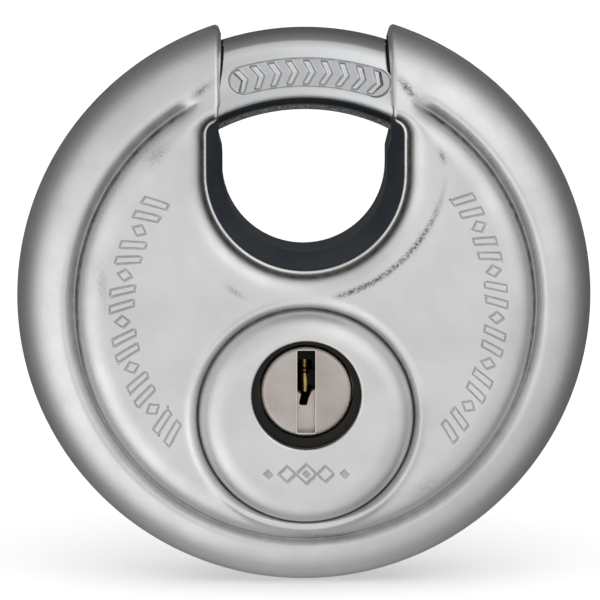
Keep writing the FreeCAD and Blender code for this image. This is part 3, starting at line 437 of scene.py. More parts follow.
def sheet_mesh(name, height, end, seam_fillet, hole, front, gauge=1.4):
    """A drawn shell: outside surface, rounded sheet edges and a plain inside."""
    s_end = end - seam_fillet
    loops = [outline_rows(end, seam_fillet)]
    if hole:
        loops.append(hole_loop())
    edge_uv = np.concatenate([l[:, :2] for l in loops])
    fillet = np.concatenate([l[:, 2] for l in loops])
    starts = np.cumsum([0] + [len(l) for l in loops])
    nxt = np.arange(len(edge_uv))
    prv = np.arange(len(edge_uv))
    for a, b in zip(starts[:-1], starts[1:]):
        nxt[a:b] = a + (np.arange(b - a) + 1) % (b - a)
        prv[a:b] = a + (np.arange(b - a) - 1) % (b - a)
    for _ in range(3):
        fillet = 0.25 * fillet[prv] + 0.5 * fillet + 0.25 * fillet[nxt]
    nb = len(edge_uv)

    def mesh_domain(points):
        uv = np.concatenate([edge_uv, points])
        edges = [(i, int(nxt[i])) for i in range(nb)]
        res = delaunay_2d_cdt([Vector(p) for p in uv.tolist()], edges, [], 0, 1e-6)
        verts = np.array([tuple(v) for v in res[0]])
        tris = np.array([f for f in res[2] if len(f) == 3])
        # map back to the input order so the outline keeps its first places
        order = np.full(len(verts), -1)
        for i, src in enumerate(res[3]):
            if src:
                order[i] = min(src)
        assert (order >= 0).all(), "the outline crosses itself"
        tris = order[tris]
        c = uv[tris].mean(1)
        g = domain_gap(c[:, 0], c[:, 1], s_end, hole)[0]
        on_edge = (tris < nb).all(1)
        keep = np.where(on_edge, g > 0.004, g > -0.05)
        tris = tris[keep]
        a, b, cc = uv[tris[:, 0]], uv[tris[:, 1]], uv[tris[:, 2]]
        area = (b[:, 0] - a[:, 0]) * (cc[:, 1] - a[:, 1]) - (b[:, 1] - a[:, 1]) * (cc[:, 0] - a[:, 0])
        tris[area < 0] = tris[area < 0][:, ::-1]
        return uv, tris[np.abs(area) > 1e-9]

    uv, tris = mesh_domain(fill_points(s_end, hole, front, False))
    P = spread(uv[:, 0], uv[:, 1], height)
    N = normals(uv[:, 0], uv[:, 1], height)
    # outline frames
    tang = P[nxt] - P[prv]
    tang = tang / np.linalg.norm(tang, axis=1, keepdims=True)
    out_dir = np.cross(tang, N[:nb])
    out_dir = out_dir / np.linalg.norm(out_dir, axis=1, keepdims=True)
    # the outward side in the domain
    du = edge_uv[nxt] - edge_uv[prv]
    left = np.stack([-du[:, 1], du[:, 0]], -1)
    left = left / np.linalg.norm(left, axis=1, keepdims=True)
    gl = domain_gap(edge_uv[:, 0] + 0.05 * left[:, 0], edge_uv[:, 1] + 0.05 * left[:, 1], s_end, hole)[0]
    gr = domain_gap(edge_uv[:, 0] - 0.05 * left[:, 0], edge_uv[:, 1] - 0.05 * left[:, 1], s_end, hole)[0]
    side = np.where(gl > gr, -left.T, left.T).T
    q = spread(edge_uv[:, 0] + 0.05 * side[:, 0], edge_uv[:, 1] + 0.05 * side[:, 1], height)
    sign = np.sign(np.sum((q - P[:nb]) * out_dir, 1))[:, None]
    out_dir = out_dir * sign
    # beside the notch the sheet's edge faces straight back and straight into the notch
    Nb = N[:nb].copy()
    by_notch = (np.abs(P[:nb, 0]) < 13.5) & (P[:nb, 2] < NOTCH_TOP + 2.2) & (P[:nb, 2] > 0.0)
    e = 0.05
    gx = [domain_gap(edge_uv[:, 0] + i * e, edge_uv[:, 1] + j * e, s_end, hole)[0] for i, j in ((1, 0), (-1, 0), (0, 1), (0, -1))]
    inward = np.stack([gx[0] - gx[1], np.zeros(nb), gx[2] - gx[3]], -1)
    inward = inward / np.maximum(np.linalg.norm(inward, axis=1, keepdims=True), 1e-9)
    Nb[by_notch] = (0.0, 1.0, 0.0)
    out_dir[by_notch] = -inward[by_notch]
    for _ in range(4):
        Nb = 0.25 * Nb[prv] + 0.5 * Nb + 0.25 * Nb[nxt]
        out_dir = 0.25 * out_dir[prv] + 0.5 * out_dir + 0.25 * out_dir[nxt]
    Nb = Nb / np.linalg.norm(Nb, axis=1, keepdims=True)
    out_dir = out_dir - np.sum(out_dir * Nb, 1, keepdims=True) * Nb
    out_dir = out_dir / np.linalg.norm(out_dir, axis=1, keepdims=True)
    verts = [P]
    norms = [N]
    faces = [tris[:, [0, 1, 2]]]
    row = np.arange(nb)
    base = len(P)
    angles = [22.5, 45.0, 67.5, 90.0]
    for a in angles:
        t = math.radians(a)
        f = fillet[:, None]
        verts.append(P[:nb] + f * math.sin(t) * out_dir - f * (1 - math.cos(t)) * Nb)
        norms.append(math.cos(t) * Nb + math.sin(t) * out_dir)
        new = base + np.arange(nb)
        faces.append(np.stack([row, row[nxt], new[nxt]], -1))
        faces.append(np.stack([row, new[nxt], new], -1))
        row = new
        base += nb
    # the wall, with its own rows so it shades flat
    t_in = P[:nb] + fillet[:, None] * out_dir - gauge * Nb
    verts.append(t_in)
    norms.append(out_dir)
    new = base + np.arange(nb)
    faces.append(np.stack([row, row[nxt], new[nxt]], -1))
    faces.append(np.stack([row, new[nxt], new], -1))
    row = new
    base += nb
    # inside
    uvi, tri_in = mesh_domain(fill_points(s_end, hole, front, True))
    kw = {"marks": False, "soft": 1.2}
    Pi = spread(uvi[:, 0], uvi[:, 1], height, **kw)
    Ni = normals(uvi[:, 0], uvi[:, 1], height, **kw)
    Qi = Pi - gauge * Ni
    Qi[:nb] = t_in
    verts.append(Qi[nb:])
    norms.append(-Ni[nb:])
    lift = np.where(tri_in < nb, tri_in + (base - nb), tri_in - nb + base)
    faces.append(lift[:, ::-1])
    V = np.concatenate(verts)
    NN = np.concatenate(norms)
    F = np.concatenate(faces)
    inner = np.arange(len(F)) >= len(F) - len(lift)
    # make the faces' winding agree with the normals
    face_n = np.cross(V[F[:, 1]] - V[F[:, 0]], V[F[:, 2]] - V[F[:, 0]])
    want = NN[F].sum(1)
    bad = np.sum(face_n * want, 1) < 0
    F[bad] = F[bad][:, ::-1]
    # a face that ends as nothing is left out
    size = np.linalg.norm(face_n, axis=1)
    F, inner = F[size > 1e-10], inner[size > 1e-10]
    return V, NN, F, inner


def add_mesh(name, V, NN, F, inner, rear=False, shade_and_seam_values=None, smudge_and_shade=None):
    """V in (x, f, z) about the disc's centre, in mm."""
    co = V.copy()
    no = NN.copy()
    F = F.copy()
    sign = 1.0 if rear else -1.0
    co = np.stack([co[:, 0], sign * co[:, 1], co[:, 2] - DROP], -1) * MM
    no = np.stack([no[:, 0], sign * no[:, 1], no[:, 2]], -1)
    if not rear:
        F = F[:, ::-1]
    me = bpy.data.meshes.new(name)
    me.from_pydata(co.tolist(), [], F.tolist())
    me.validate()
    me.update()
    me.shade_smooth()
    if len(me.polygons) == len(inner):
        me.materials.append(None)
        me.materials.append(None)
        me.polygons.foreach_set("material_index", inner.astype(np.int32))
    if len(me.vertices) == len(no):
        length = np.maximum(np.linalg.norm(no, axis=1, keepdims=True), 1e-9)
        me.normals_split_custom_set_from_vertices((no / length).tolist())
    # point attributes: painted shade with the seam's dark line, and smudges with painted shade
    if shade_and_seam_values is not None:
        at = me.attributes.new("seam_and_shade", "FLOAT", "POINT")
        at.data.foreach_set("value", shade_and_seam_values.astype(np.float32))
    if smudge_and_shade is not None:
        at = me.attributes.new("smudge_and_shade", "FLOAT", "POINT")
        at.data.foreach_set("value", smudge_and_shade.astype(np.float32))
    obj = bpy.data.objects.new(name, me)
    bpy.context.scene.collection.objects.link(obj)
    return obj


SEAM = 1.5
END_FRONT = R0 + BEAD_R * (math.acos(SEAM / BEAD_R) - A0)
END_REAR = R0 + BEAD_R * (math.acos(-SEAM / BEAD_R) - A0)

V, NN, F, inner = sheet_mesh("front", front_height, END_FRONT, 0.28, True, True)
r = np.hypot(V[:, 0], V[:, 2])
rho = np.hypot(V[:, 0], V[:, 2] - BOSS_Z)
th = np.arctan2(V[:, 0], V[:, 2])
gs = groove_shift(th)
th = np.abs(np.degrees(th))
ud = u_distance(V[:, 0], V[:, 2])
# painted shade: darker along the groove's crease (most at the upper sides), in the boss's crease, over the groove's
# outer band towards the bottom, on the steep band beside the notch and inside the stamped marks; the dark line at the
# seam is the joint's own colour
strong = 1.0 - 0.45 * ease(th, 90.0, 125.0)
line = 27.82 - 0.20 * (1.0 - ease(th, 90.0, 125.0))
shade_and_seam = np.exp(-((r - gs - line) / 0.30) ** 2) * ease(th, 27.0, 34.0) * (V[:, 1] < 9.2) * strong
shade_and_seam = np.maximum(shade_and_seam, 0.85 * np.exp(-((rho - 13.06) / 0.12) ** 2))
shade_and_seam = np.maximum(shade_and_seam, 0.34 * ease(th, 105.0, 150.0) * np.exp(-((r - 28.9) / 0.75) ** 2))
shade_and_seam = np.maximum(shade_and_seam, np.exp(-((ud - 0.60) / 0.27) ** 2) * 0.95 * (ud > 0.30) * (r < 32.0) * (V[:, 1] > 5.0))
shade_and_seam = np.maximum(shade_and_seam, np.clip(ornament(V[:, 0], V[:, 2])[0] / 0.17, 0, 1) * 0.42)
shade_and_seam = np.maximum(shade_and_seam, np.exp(-((V[:, 1] - SEAM) / 0.22) ** 2) * (r > 33.0))
# speckled smudges left by handling and by the tool
smudge_and_shade = np.zeros(len(V))
for sx, sz, ax, az, turn, amount in (
        (-12.4, 26.2, 1.5, 0.38, 38.0, 0.8), (12.3, 26.2, 1.7, 0.46, -50.0, 1.0), (-17.8, 18.6, 1.7, 0.7, 40.0, 0.5),
        (16.3, 18.4, 0.28, 0.75, 20.0, 0.9), (2.2, -28.3, 4.0, 0.45, -3.0, 0.6),
        (14.4, -22.0, 2.0, 0.5, 33.0, 0.4), (-24.5, 3.0, 0.5, 2.4, 8.0, 0.4), (-8.5, 2.0, 1.2, 0.35, -35.0, 0.5)):
    c, s_ = math.cos(math.radians(turn)), math.sin(math.radians(turn))
    px_, pz_ = V[:, 0] - sx, V[:, 2] - sz
    along, across = px_ * c + pz_ * s_, -px_ * s_ + pz_ * c
    smudge_and_shade = np.maximum(smudge_and_shade, amount * np.exp(-(along / ax) ** 2 - (across / az) ** 2))
# a painted dark line of shade along the fold around the notch, on its lower right
phi = np.degrees(np.arctan2(V[:, 0], V[:, 2] - NOTCH_Z))
fold = 3.14 + 0.00033 * (165.0 - phi) ** 2
run = ease(phi, 84.0, 124.0) * (1.0 - ease(phi, 160.0, 170.0))
smudge_and_shade = np.maximum(smudge_and_shade, 1.25 * run * np.exp(-((ud - fold) / 0.30) ** 2))
smudge_and_shade = np.clip(smudge_and_shade, 0.0, 1.0)
front_skin = add_mesh("front_shell_skin", V, NN, F, inner, shade_and_seam_values=shade_and_seam, smudge_and_shade=smudge_and_shade)
print("front skin faces", len(F))
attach(front_skin, "lock_body")
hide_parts("front_shell")

V, NN, F, inner = sheet_mesh("rear", rear_height, END_REAR, 0.28, False, False)
r = np.hypot(V[:, 0], V[:, 2])
th = np.abs(np.degrees(np.arctan2(V[:, 0], V[:, 2])))
# painted shade along the groove's crease and on the steep band beside the notch; the dark line at the seam is the
# joint's own colour
shade_and_seam = np.exp(-((r - 27.95) / 0.28) ** 2) * ease(th, 27.0, 34.0) * (V[:, 1] > 5.0)
shade_and_seam = np.maximum(shade_and_seam, np.exp(-((V[:, 1] + SEAM) / 0.22) ** 2) * (r > 33.0))
shade_and_seam = np.maximum(shade_and_seam, np.exp(-((u_distance(V[:, 0], V[:, 2]) - 0.62) / 0.24) ** 2) * 0.9 * (r < 32.0) * (V[:, 1] > 5.0))
smudge_and_shade = np.zeros(len(V))
for sx, sz, ax, az, amount in ((-9.0, -12.0, 3.5, 0.5, 0.5), (12.0, -4.0, 0.6, 3.0, 0.45), (3.0, -22.0, 2.6, 1.6, 0.4)):
    smudge_and_shade = np.maximum(smudge_and_shade, amount * np.exp(-((V[:, 0] - sx) / ax) ** 2 - ((V[:, 2] - sz) / az) ** 2))
rear_skin = add_mesh("rear_shell_skin", V, NN, F, inner, rear=True, shade_and_seam_values=shade_and_seam, smudge_and_shade=smudge_and_shade)
print("rear skin faces", len(F))
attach(rear_skin, "lock_body")
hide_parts("rear_shell")


# ------------------------------------------------------------------- shackle
def shackle_mesh():
    """The curved bar: toe to the left, tail to the right, with its sunk panel."""
    toe, tail = -42.0, 154.0
    fine = np.arange(-23.2, 25.2, 0.22)
    phi = np.concatenate([np.linspace(toe, fine[0], 20)[:-1], fine, np.linspace(fine[-1], tail, 118)[1:]])
    front = np.arange(-24.0, 24.001, 1.0)
    psi = np.concatenate([front, np.linspace(24.0, 336.0, 66)[1:-1]])
    A, B = np.meshgrid(np.radians(phi), np.radians(psi), indexing="ij")
    tube = 5.0
    # rounded ends
    end = np.minimum((A - A[0, 0]) * 28.0, (A[-1, 0] - A) * 28.0)
    ease_end = np.clip(end / 0.6, 0, 1)
    rad = tube - 0.6 * (1 - np.sqrt(np.maximum(1 - (1 - ease_end) ** 2, 0)))
    a = rad * np.sin(B)
    f = rad * np.cos(B)
    L = np.degrees(A)
    # the panel: a stadium from -19 to 21.3 degrees
    lo, hi = -15.4, 17.8
    run = np.maximum(np.maximum(lo - L, L - hi), 0) * math.radians(1.0) * 28.0
    sd = np.hypot(run, a) - 1.75
    inside = (f > 0)
    floor = 4.28
    along = (L - 1.1) * math.radians(1.0) * 28.0
    pitch = 2.05
    n = np.round(along / pitch)
    la = along - n * pitch
    chev = np.abs(la + 0.55 * np.abs(a) - 0.35) - 0.36
    chev = np.maximum(chev, np.abs(a) - 1.38)
    chev = np.where(np.abs(n) <= 4, chev, 9.0)
    raised = 0.62 * (1 - ease(chev, -0.12, 0.12))
    sunk = np.minimum(f, floor + raised)
    t = 1.0 - ease(sd, -0.14, 0.06)
    f = np.where(inside, f + (sunk - f) * t, f)
    # the milled flat that carries the fork
    flat = (L > 180.0 - 32.3 - 12.2) & (B > 0)
    cap = np.where((L > 180 - 32.3 - 12.0), -2.5, -9.0)
    f = np.maximum(f, cap)
    rr = 28.0 + a
    X = rr * np.sin(A)
    Z = rr * np.cos(A)
    n0, n1 = A.shape
    verts = np.stack([X, f, Z], -1).reshape(-1, 3)
    idx = np.arange(n0 * n1).reshape(n0, n1)
    faces = []
    for j in range(n1):
        k = (j + 1) % n1
        faces.append(np.stack([idx[:-1, j], idx[1:, j], idx[1:, k], idx[:-1, k]], -1))
    quads = np.concatenate(faces).tolist()
    verts = verts.tolist()
    for i, rev in ((0, False), (n0 - 1, True)):
        ring = idx[i].tolist()
        c = np.array([verts[k] for k in ring])
        ang = math.radians(phi[i])
        centre = [28.0 * math.sin(ang), float((c[:, 1].max() + c[:, 1].min()) / 2), 28.0 * math.cos(ang)]
        verts.append(centre)
        m = len(verts) - 1
        for j in range(n1):
            k = (j + 1) % n1
            quads.append([ring[j], ring[k], m] if not rev else [ring[k], ring[j], m])
    me = bpy.data.meshes.new("shackle_bar")
    me.from_pydata([(x * MM, -f_ * MM, (z - DROP) * MM) for x, f_, z in verts], [], quads)
    me.validate()
    me.update()
    import bmesh
    bm = bmesh.new()
    bm.from_mesh(me)
    bmesh.ops.recalc_face_normals(bm, faces=bm.faces)
    bm.to_mesh(me)
    bm.free()
    me.shade_smooth()
    # painted shade on the sunk panel's floor and along its edge
    shade_and_seam = np.clip(t * (1 - np.clip(raised / 0.62, 0, 1)) * 0.6 + np.exp(-((sd + 0.05) / 0.10) ** 2) * inside, 0, 1).reshape(-1)
    shade_and_seam = np.concatenate([shade_and_seam, [0, 0]])
    at = me.attributes.new("seam_and_shade", "FLOAT", "POINT")
    at.data.foreach_set("value", shade_and_seam.astype(np.float32))
    # painted shade: the bar's inner side is darkened and dulled
    inner_side_shade = ease(-np.sin(B), 0.74, 0.88).reshape(-1)
    at = me.attributes.new("smudge_and_shade", "FLOAT", "POINT")
    at.data.foreach_set("value", np.concatenate([inner_side_shade, [0, 0]]).astype(np.float32))
    obj = bpy.data.objects.new("shackle_bar", me)
    bpy.context.scene.collection.objects.link(obj)
    return obj


bar = shackle_mesh()
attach(bar, "shackle")
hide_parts("shackle")


# ----------------------------------------------------------------- pin springs
for i in range(1, 6):
    spring = nodes["pin_spring_%d" % i]
    coil = bpy.data.objects.new("spring_coil_%d" % i, bpy.data.meshes.new_from_object(spring))
    coil.matrix_world = spring.matrix_world
    bpy.context.scene.collection.objects.link(coil)
    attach(coil, "lock_body")
    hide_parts("pin_spring_%d" % i)
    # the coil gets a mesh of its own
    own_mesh(coil)


# ------------------------------------------------------------------ key slot
def slot_edge():
    """The key slot's edge on the plug's face: a thin tube whose bright finish is a painted highlight on the chamfer."""
    half, reach, corner, face, rad = 1.18, 5.12, 0.22, 11.2, 0.085
    lo_, hi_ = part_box("plug")
    face = -lo_[1] / MM if lo_[1] < 0 else face
    centre_z = (lo_[2] + hi_[2]) / 2 / MM
    path, side = [], []
    for sx, sz, a0 in ((1, 1, 0), (-1, 1, 90), (-1, -1, 180), (1, -1, 270)):
        for a in np.radians(np.linspace(a0, a0 + 90, 6)):
            path.append((sx * (half - corner) + corner * math.cos(a), sz * (reach - corner) + corner * math.sin(a)))
            side.append((math.cos(a), math.sin(a)))
    long = []
    n = len(path)
    for i in range(n):
        a, b = np.array(path[i]), np.array(path[(i + 1) % n])
        u, v = np.array(side[i]), np.array(side[(i + 1) % n])
        steps = max(1, int(np.linalg.norm(b - a) / 0.6))
        for k in range(steps):
            w = k / steps
            q = u * (1 - w) + v * w
            long.append((*(a * (1 - w) + b * w), *(q / np.linalg.norm(q))))
    verts, faces = [], []
    m = 10
    for i, (x, z, ux, uz) in enumerate(long):
        # a few dents, always the same ones
        dent = 1.0 - 0.35 * max(0.0, math.sin(i * 2.3) * math.sin(i * 0.71) - 0.35)
        for j in range(m):
            t = 2 * math.pi * j / m
            off = rad * dent * math.cos(t) - 0.02
            f = face - 0.055 + rad * 0.72 * dent * math.sin(t)
            verts.append(((x + ux * off) * MM, -min(f, face - 0.002) * MM, (centre_z + z + uz * off) * MM))
    k = len(long)
    for i in range(k):
        for j in range(m):
            a, b = i * m + j, i * m + (j + 1) % m
            c, d = ((i + 1) % k) * m + (j + 1) % m, ((i + 1) % k) * m + j
            faces.append((a, b, c, d))
    me = bpy.data.meshes.new("key_slot_edge")
    me.from_pydata(verts, [], faces)
    me.validate()
    me.update()
    me.shade_smooth()
    obj = bpy.data.objects.new("key_slot_edge", me)
    bpy.context.scene.collection.objects.link(obj)
    return obj


slot_rim = slot_edge()
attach(slot_rim, "plug")


# ----------------------------------------------------------------- materials
def material(name, base, metallic, rough, noise_scale=4000.0, bump=0.02, rough_var=0.06, tint=None,
             tint_amount=0.0, seam_and_shade=None, seam_and_shade_amount=0.0, seam_and_shade_rough=0.5, broad=None, coat=0.0, stretch=None,
             spec=None, depth_shade=None, smudges_and_shade=False):
    """Principled material with grain, uneven polish and painted shade in the creases and recesses."""
    m = bpy.data.materials.new(name)
    m.use_nodes = True
    nt = m.node_tree
    bsdf = nt.nodes["Principled BSDF"]
    bsdf.inputs["Metallic"].default_value = metallic
    if coat:
        bsdf.inputs["Coat Weight"].default_value = coat
        bsdf.inputs["Coat Roughness"].default_value = 0.12
    if spec is not None:
        bsdf.inputs["Specular IOR Level"].default_value = spec
    co = nt.nodes.new("ShaderNodeTexCoord")
    src = co.outputs["Object"]
    if stretch is not None:
        mp = nt.nodes.new("ShaderNodeMapping")
        mp.inputs["Scale"].default_value = stretch
        nt.links.new(src, mp.inputs["Vector"])
        src = mp.outputs["Vector"]
    fine = nt.nodes.new("ShaderNodeTexNoise")
    fine.inputs["Scale"].default_value = noise_scale
    fine.inputs["Detail"].default_value = 4.0
    fine.inputs["Roughness"].default_value = 0.6
    nt.links.new(src, fine.inputs["Vector"])
    wide = nt.nodes.new("ShaderNodeTexNoise")
    wide.inputs["Scale"].default_value = 170.0
    wide.inputs["Detail"].default_value = 5.0
    wide.inputs["Roughness"].default_value = 0.55
    nt.links.new(co.outputs["Object"], wide.inputs["Vector"])
    # roughness: base plus broad variation
    rr = nt.nodes.new("ShaderNodeMapRange")
    rr.inputs["From Min"].default_value = 0.3
    rr.inputs["From Max"].default_value = 0.7
    rr.inputs["To Min"].default_value = rough - rough_var
    rr.inputs["To Max"].default_value = rough + rough_var
    nt.links.new(wide.outputs["Fac"], rr.inputs["Value"])
    rough_out = rr.outputs["Result"]
    # colour
    mix = nt.nodes.new("ShaderNodeMix")
    mix.data_type = "RGBA"
    mix.inputs["A"].default_value = (*base, 1)
    t = tint if tint is not None else tuple(c * 0.92 for c in base)
    mix.inputs["B"].default_value = (*t, 1)
    cr = nt.nodes.new("ShaderNodeMapRange")
    cr.inputs["From Min"].default_value = 0.35
    cr.inputs["From Max"].default_value = 0.7
    cr.inputs["To Min"].default_value = 0.0
    cr.inputs["To Max"].default_value = tint_amount
    nt.links.new(wide.outputs["Fac"], cr.inputs["Value"])
    nt.links.new(cr.outputs["Result"], mix.inputs["Factor"])
    colour = mix.outputs["Result"]
    # painted shade (with the seam's dark line) from the mesh's attribute darkens the colour and roughens it
    if seam_and_shade is not None:
        at = nt.nodes.new("ShaderNodeAttribute")
        at.attribute_name = "seam_and_shade"
        blot = nt.nodes.new("ShaderNodeTexNoise")
        blot.inputs["Scale"].default_value = 900.0
        blot.inputs["Detail"].default_value = 3.0
        nt.links.new(co.outputs["Object"], blot.inputs["Vector"])
        br = nt.nodes.new("ShaderNodeMapRange")
        br.inputs["From Min"].default_value = 0.25
        br.inputs["From Max"].default_value = 0.65
        br.inputs["To Min"].default_value = 0.72
        br.inputs["To Max"].default_value = 1.0
        nt.links.new(blot.outputs["Fac"], br.inputs["Value"])
        mu = nt.nodes.new("ShaderNodeMath")
        mu.operation = "MULTIPLY"
        nt.links.new(at.outputs["Fac"], mu.inputs[0])
        nt.links.new(br.outputs["Result"], mu.inputs[1])
        am = nt.nodes.new("ShaderNodeMath")
        am.operation = "MULTIPLY"
        am.use_clamp = True
        am.inputs[1].default_value = seam_and_shade_amount
        nt.links.new(mu.outputs[0], am.inputs[0])
        m2 = nt.nodes.new("ShaderNodeMix")
        m2.data_type = "RGBA"
        m2.inputs["B"].default_value = (*seam_and_shade, 1)
        nt.links.new(am.outputs[0], m2.inputs["Factor"])
        nt.links.new(colour, m2.inputs["A"])
        colour = m2.outputs["Result"]
        m3 = nt.nodes.new("ShaderNodeMix")
        m3.data_type = "FLOAT"
        m3.inputs["B"].default_value = seam_and_shade_rough
        nt.links.new(am.outputs[0], m3.inputs["Factor"])
        nt.links.new(rough_out, m3.inputs["A"])
        rough_out = m3.outputs["Result"]
    # speckled smudges, with the painted shade on the fold by the notch and on the bar's inner side, from the mesh's
    # attribute
    if smudges_and_shade:
        at = nt.nodes.new("ShaderNodeAttribute")
        at.attribute_name = "smudge_and_shade"
        speck = nt.nodes.new("ShaderNodeTexNoise")
        speck.inputs["Scale"].default_value = 3600.0
        speck.inputs["Detail"].default_value = 4.0
        speck.inputs["Roughness"].default_value = 0.7
        nt.links.new(co.outputs["Object"], speck.inputs["Vector"])
        cut = nt.nodes.new("ShaderNodeMapRange")
        cut.inputs["From Min"].default_value = 0.34
        cut.inputs["From Max"].default_value = 0.58
        nt.links.new(speck.outputs["Fac"], cut.inputs["Value"])
        am = nt.nodes.new("ShaderNodeMath")
        am.operation = "MULTIPLY"
        nt.links.new(at.outputs["Fac"], am.inputs[0])
        nt.links.new(cut.outputs["Result"], am.inputs[1])
        m2 = nt.nodes.new("ShaderNodeMix")
        m2.data_type = "RGBA"
        m2.inputs["B"].default_value = (0.13, 0.13, 0.13, 1)
        nt.links.new(am.outputs[0], m2.inputs["Factor"])
        nt.links.new(colour, m2.inputs["A"])
        colour = m2.outputs["Result"]
        m3 = nt.nodes.new("ShaderNodeMix")
        m3.data_type = "FLOAT"
        m3.inputs["B"].default_value = 0.62
        nt.links.new(am.outputs[0], m3.inputs["Factor"])
        nt.links.new(rough_out, m3.inputs["A"])
        rough_out = m3.outputs["Result"]
    if depth_shade is not None:
        # painted shade: what lies further back than a depth is darkened
        y0, y1, colour2 = depth_shade
        place = nt.nodes.new("ShaderNodeSeparateXYZ")
        nt.links.new(co.outputs["Object"], place.inputs["Vector"])
        dm = nt.nodes.new("ShaderNodeMapRange")
        dm.inputs["From Min"].default_value = y0 * MM
        dm.inputs["From Max"].default_value = y1 * MM
        nt.links.new(place.outputs["Y"], dm.inputs["Value"])
        m2 = nt.nodes.new("ShaderNodeMix")
        m2.data_type = "RGBA"
        m2.inputs["B"].default_value = (*colour2, 1)
        nt.links.new(dm.outputs["Result"], m2.inputs["Factor"])
        nt.links.new(colour, m2.inputs["A"])
        colour = m2.outputs["Result"]
    nt.links.new(colour, bsdf.inputs["Base Color"])
    nt.links.new(rough_out, bsdf.inputs["Roughness"])
    # bump: fine grain over a faint broad waviness
    b1 = nt.nodes.new("ShaderNodeBump")
    b1.inputs["Strength"].default_value = 1.0
    b1.inputs["Distance"].default_value = bump * MM
    nt.links.new(fine.outputs["Fac"], b1.inputs["Height"])
    if broad:
        b2 = nt.nodes.new("ShaderNodeBump")
        b2.inputs["Strength"].default_value = 1.0
        b2.inputs["Distance"].default_value = broad * MM
        nt.links.new(wide.outputs["Fac"], b2.inputs["Height"])
        nt.links.new(b2.outputs["Normal"], b1.inputs["Normal"])
    nt.links.new(b1.outputs["Normal"], bsdf.inputs["Normal"])
    return m


MATS = {
    # the shell's near-black mixing colour paints shade in its creases and marks, and the seam's dark line
    "shell_steel": material("shell_steel", (0.765, 0.765, 0.76), 1.0, 0.35, 5200.0, 0.034, 0.055,
                            tint=(0.685, 0.685, 0.68), tint_amount=0.85, seam_and_shade=(0.045, 0.045, 0.045),
                            seam_and_shade_amount=1.0, seam_and_shade_rough=0.6, broad=0.012, smudges_and_shade=True),
    # the chrome's darker mixing colour paints shade in the shackle's sunk panel
    "shackle_chrome": material("shackle_chrome", (0.695, 0.70, 0.708), 1.0, 0.09, 2600.0, 0.003, 0.03,
                               tint=(0.62, 0.63, 0.645), tint_amount=0.6, seam_and_shade=(0.36, 0.37, 0.385),
                               seam_and_shade_amount=0.6, seam_and_shade_rough=0.30, broad=0.014, smudges_and_shade=True),
    "liner_plastic": material("liner_plastic", (0.018, 0.022, 0.027), 0.0, 0.36, 3000.0, 0.012, 0.06,
                              tint=(0.028, 0.033, 0.038), tint_amount=0.8, broad=0.01, spec=0.20),
    "core_casting": material("core_casting", (0.50, 0.50, 0.50), 1.0, 0.5, 1800.0, 0.04, 0.08,
                             tint=(0.38, 0.38, 0.38), tint_amount=0.6, broad=0.03),
    "cylinder_brass": material("cylinder_brass", (0.62, 0.50, 0.28), 1.0, 0.34, 2600.0, 0.01, 0.06,
                               tint=(0.5, 0.38, 0.2), tint_amount=0.5),
    # the plug turns near black deep in the keyway: painted shade
    "plug_nickel": material("plug_nickel", (0.57, 0.515, 0.485), 1.0, 0.34, 3800.0, 0.022, 0.06,
                            tint=(0.40, 0.35, 0.325), tint_amount=0.8, broad=0.016, depth_shade=(-9.75, -9.35, (0.012, 0.011, 0.010))),
    "pin_brass": material("pin_brass", (0.66, 0.47, 0.17), 1.0, 0.24, 2600.0, 0.006, 0.06,
                          tint=(0.42, 0.28, 0.08), tint_amount=0.7),
    "guard_black_steel": material("guard_black_steel", (0.006, 0.006, 0.006), 0.1, 0.36, 2800.0, 0.012, 0.08,
                                  tint=(0.018, 0.015, 0.012), tint_amount=0.8, spec=0.22),
    "steel_small_parts": material("steel_small_parts", (0.60, 0.60, 0.60), 1.0, 0.30, 2800.0, 0.008, 0.06,
                                  tint=(0.5, 0.5, 0.5), tint_amount=0.5),
}
# the shells' inside is painted dark: shade inside the lock body
inside_shade_steel = material("shell_inside_shade", (0.11, 0.108, 0.105), 1.0, 0.62, 2400.0, 0.02, 0.08,
                        tint=(0.06, 0.055, 0.05), tint_amount=0.8, broad=0.02)

slot_of = {s["node"]: s["material_slot"] for s in frame["record"]["subparts"]}
for name, o in nodes.items():
    mat = MATS[slot_of[name]]
    o.data.materials.clear()
    o.data.materials.append(mat)
for o in (front_skin, rear_skin):
    o.data.materials[0] = MATS["shell_steel"]
    o.data.materials[1] = inside_shade_steel
bar.data.materials.append(MATS["shackle_chrome"])
for i in range(1, 6):
    coil = bpy.data.objects["spring_coil_%d" % i]
    coil.data.materials.clear()
    coil.data.materials.append(MATS["steel_small_parts"])
# the slot edge's bright finish is a painted highlight
slot_rim.data.materials.append(material("slot_edge_highlight", (0.80, 0.76, 0.73), 1.0, 0.22, 3800.0, 0.008, 0.05,
                                        tint=(0.55, 0.50, 0.47), tint_amount=0.9, broad=0.01))

# ------------------------------------------------------------- floor and light
size = 4.0
bpy.ops.mesh.primitive_plane_add(size=2 * size, location=(0, 0, -0.063 - 0.00002))
floor = bpy.context.object
floor.name = "floor"
fm = bpy.data.materials.new("floor_white")
fm.use_nodes = True
fb = fm.node_tree.nodes["Principled BSDF"]
fb.inputs["Base Color"].default_value = (0.60, 0.60, 0.60, 1)
fb.inputs["Emission Color"].default_value = (1, 1, 1, 1)
fb.inputs["Emission Strength"].default_value = 0.42
fb.inputs["Roughness"].default_value = 0.9
fb.inputs["Specular IOR Level"].default_value = 0.1
floor.data.materials.append(fm)

world = bpy.data.worlds.new("studio")
bpy.context.scene.world = world
world.use_nodes = True
wn = world.node_tree
bg = wn.nodes["Background"]
tc = wn.nodes.new("ShaderNodeTexCoord")
sep = wn.nodes.new("ShaderNodeSeparateXYZ")
wn.links.new(tc.outputs["Generated"], sep.inputs["Vector"])
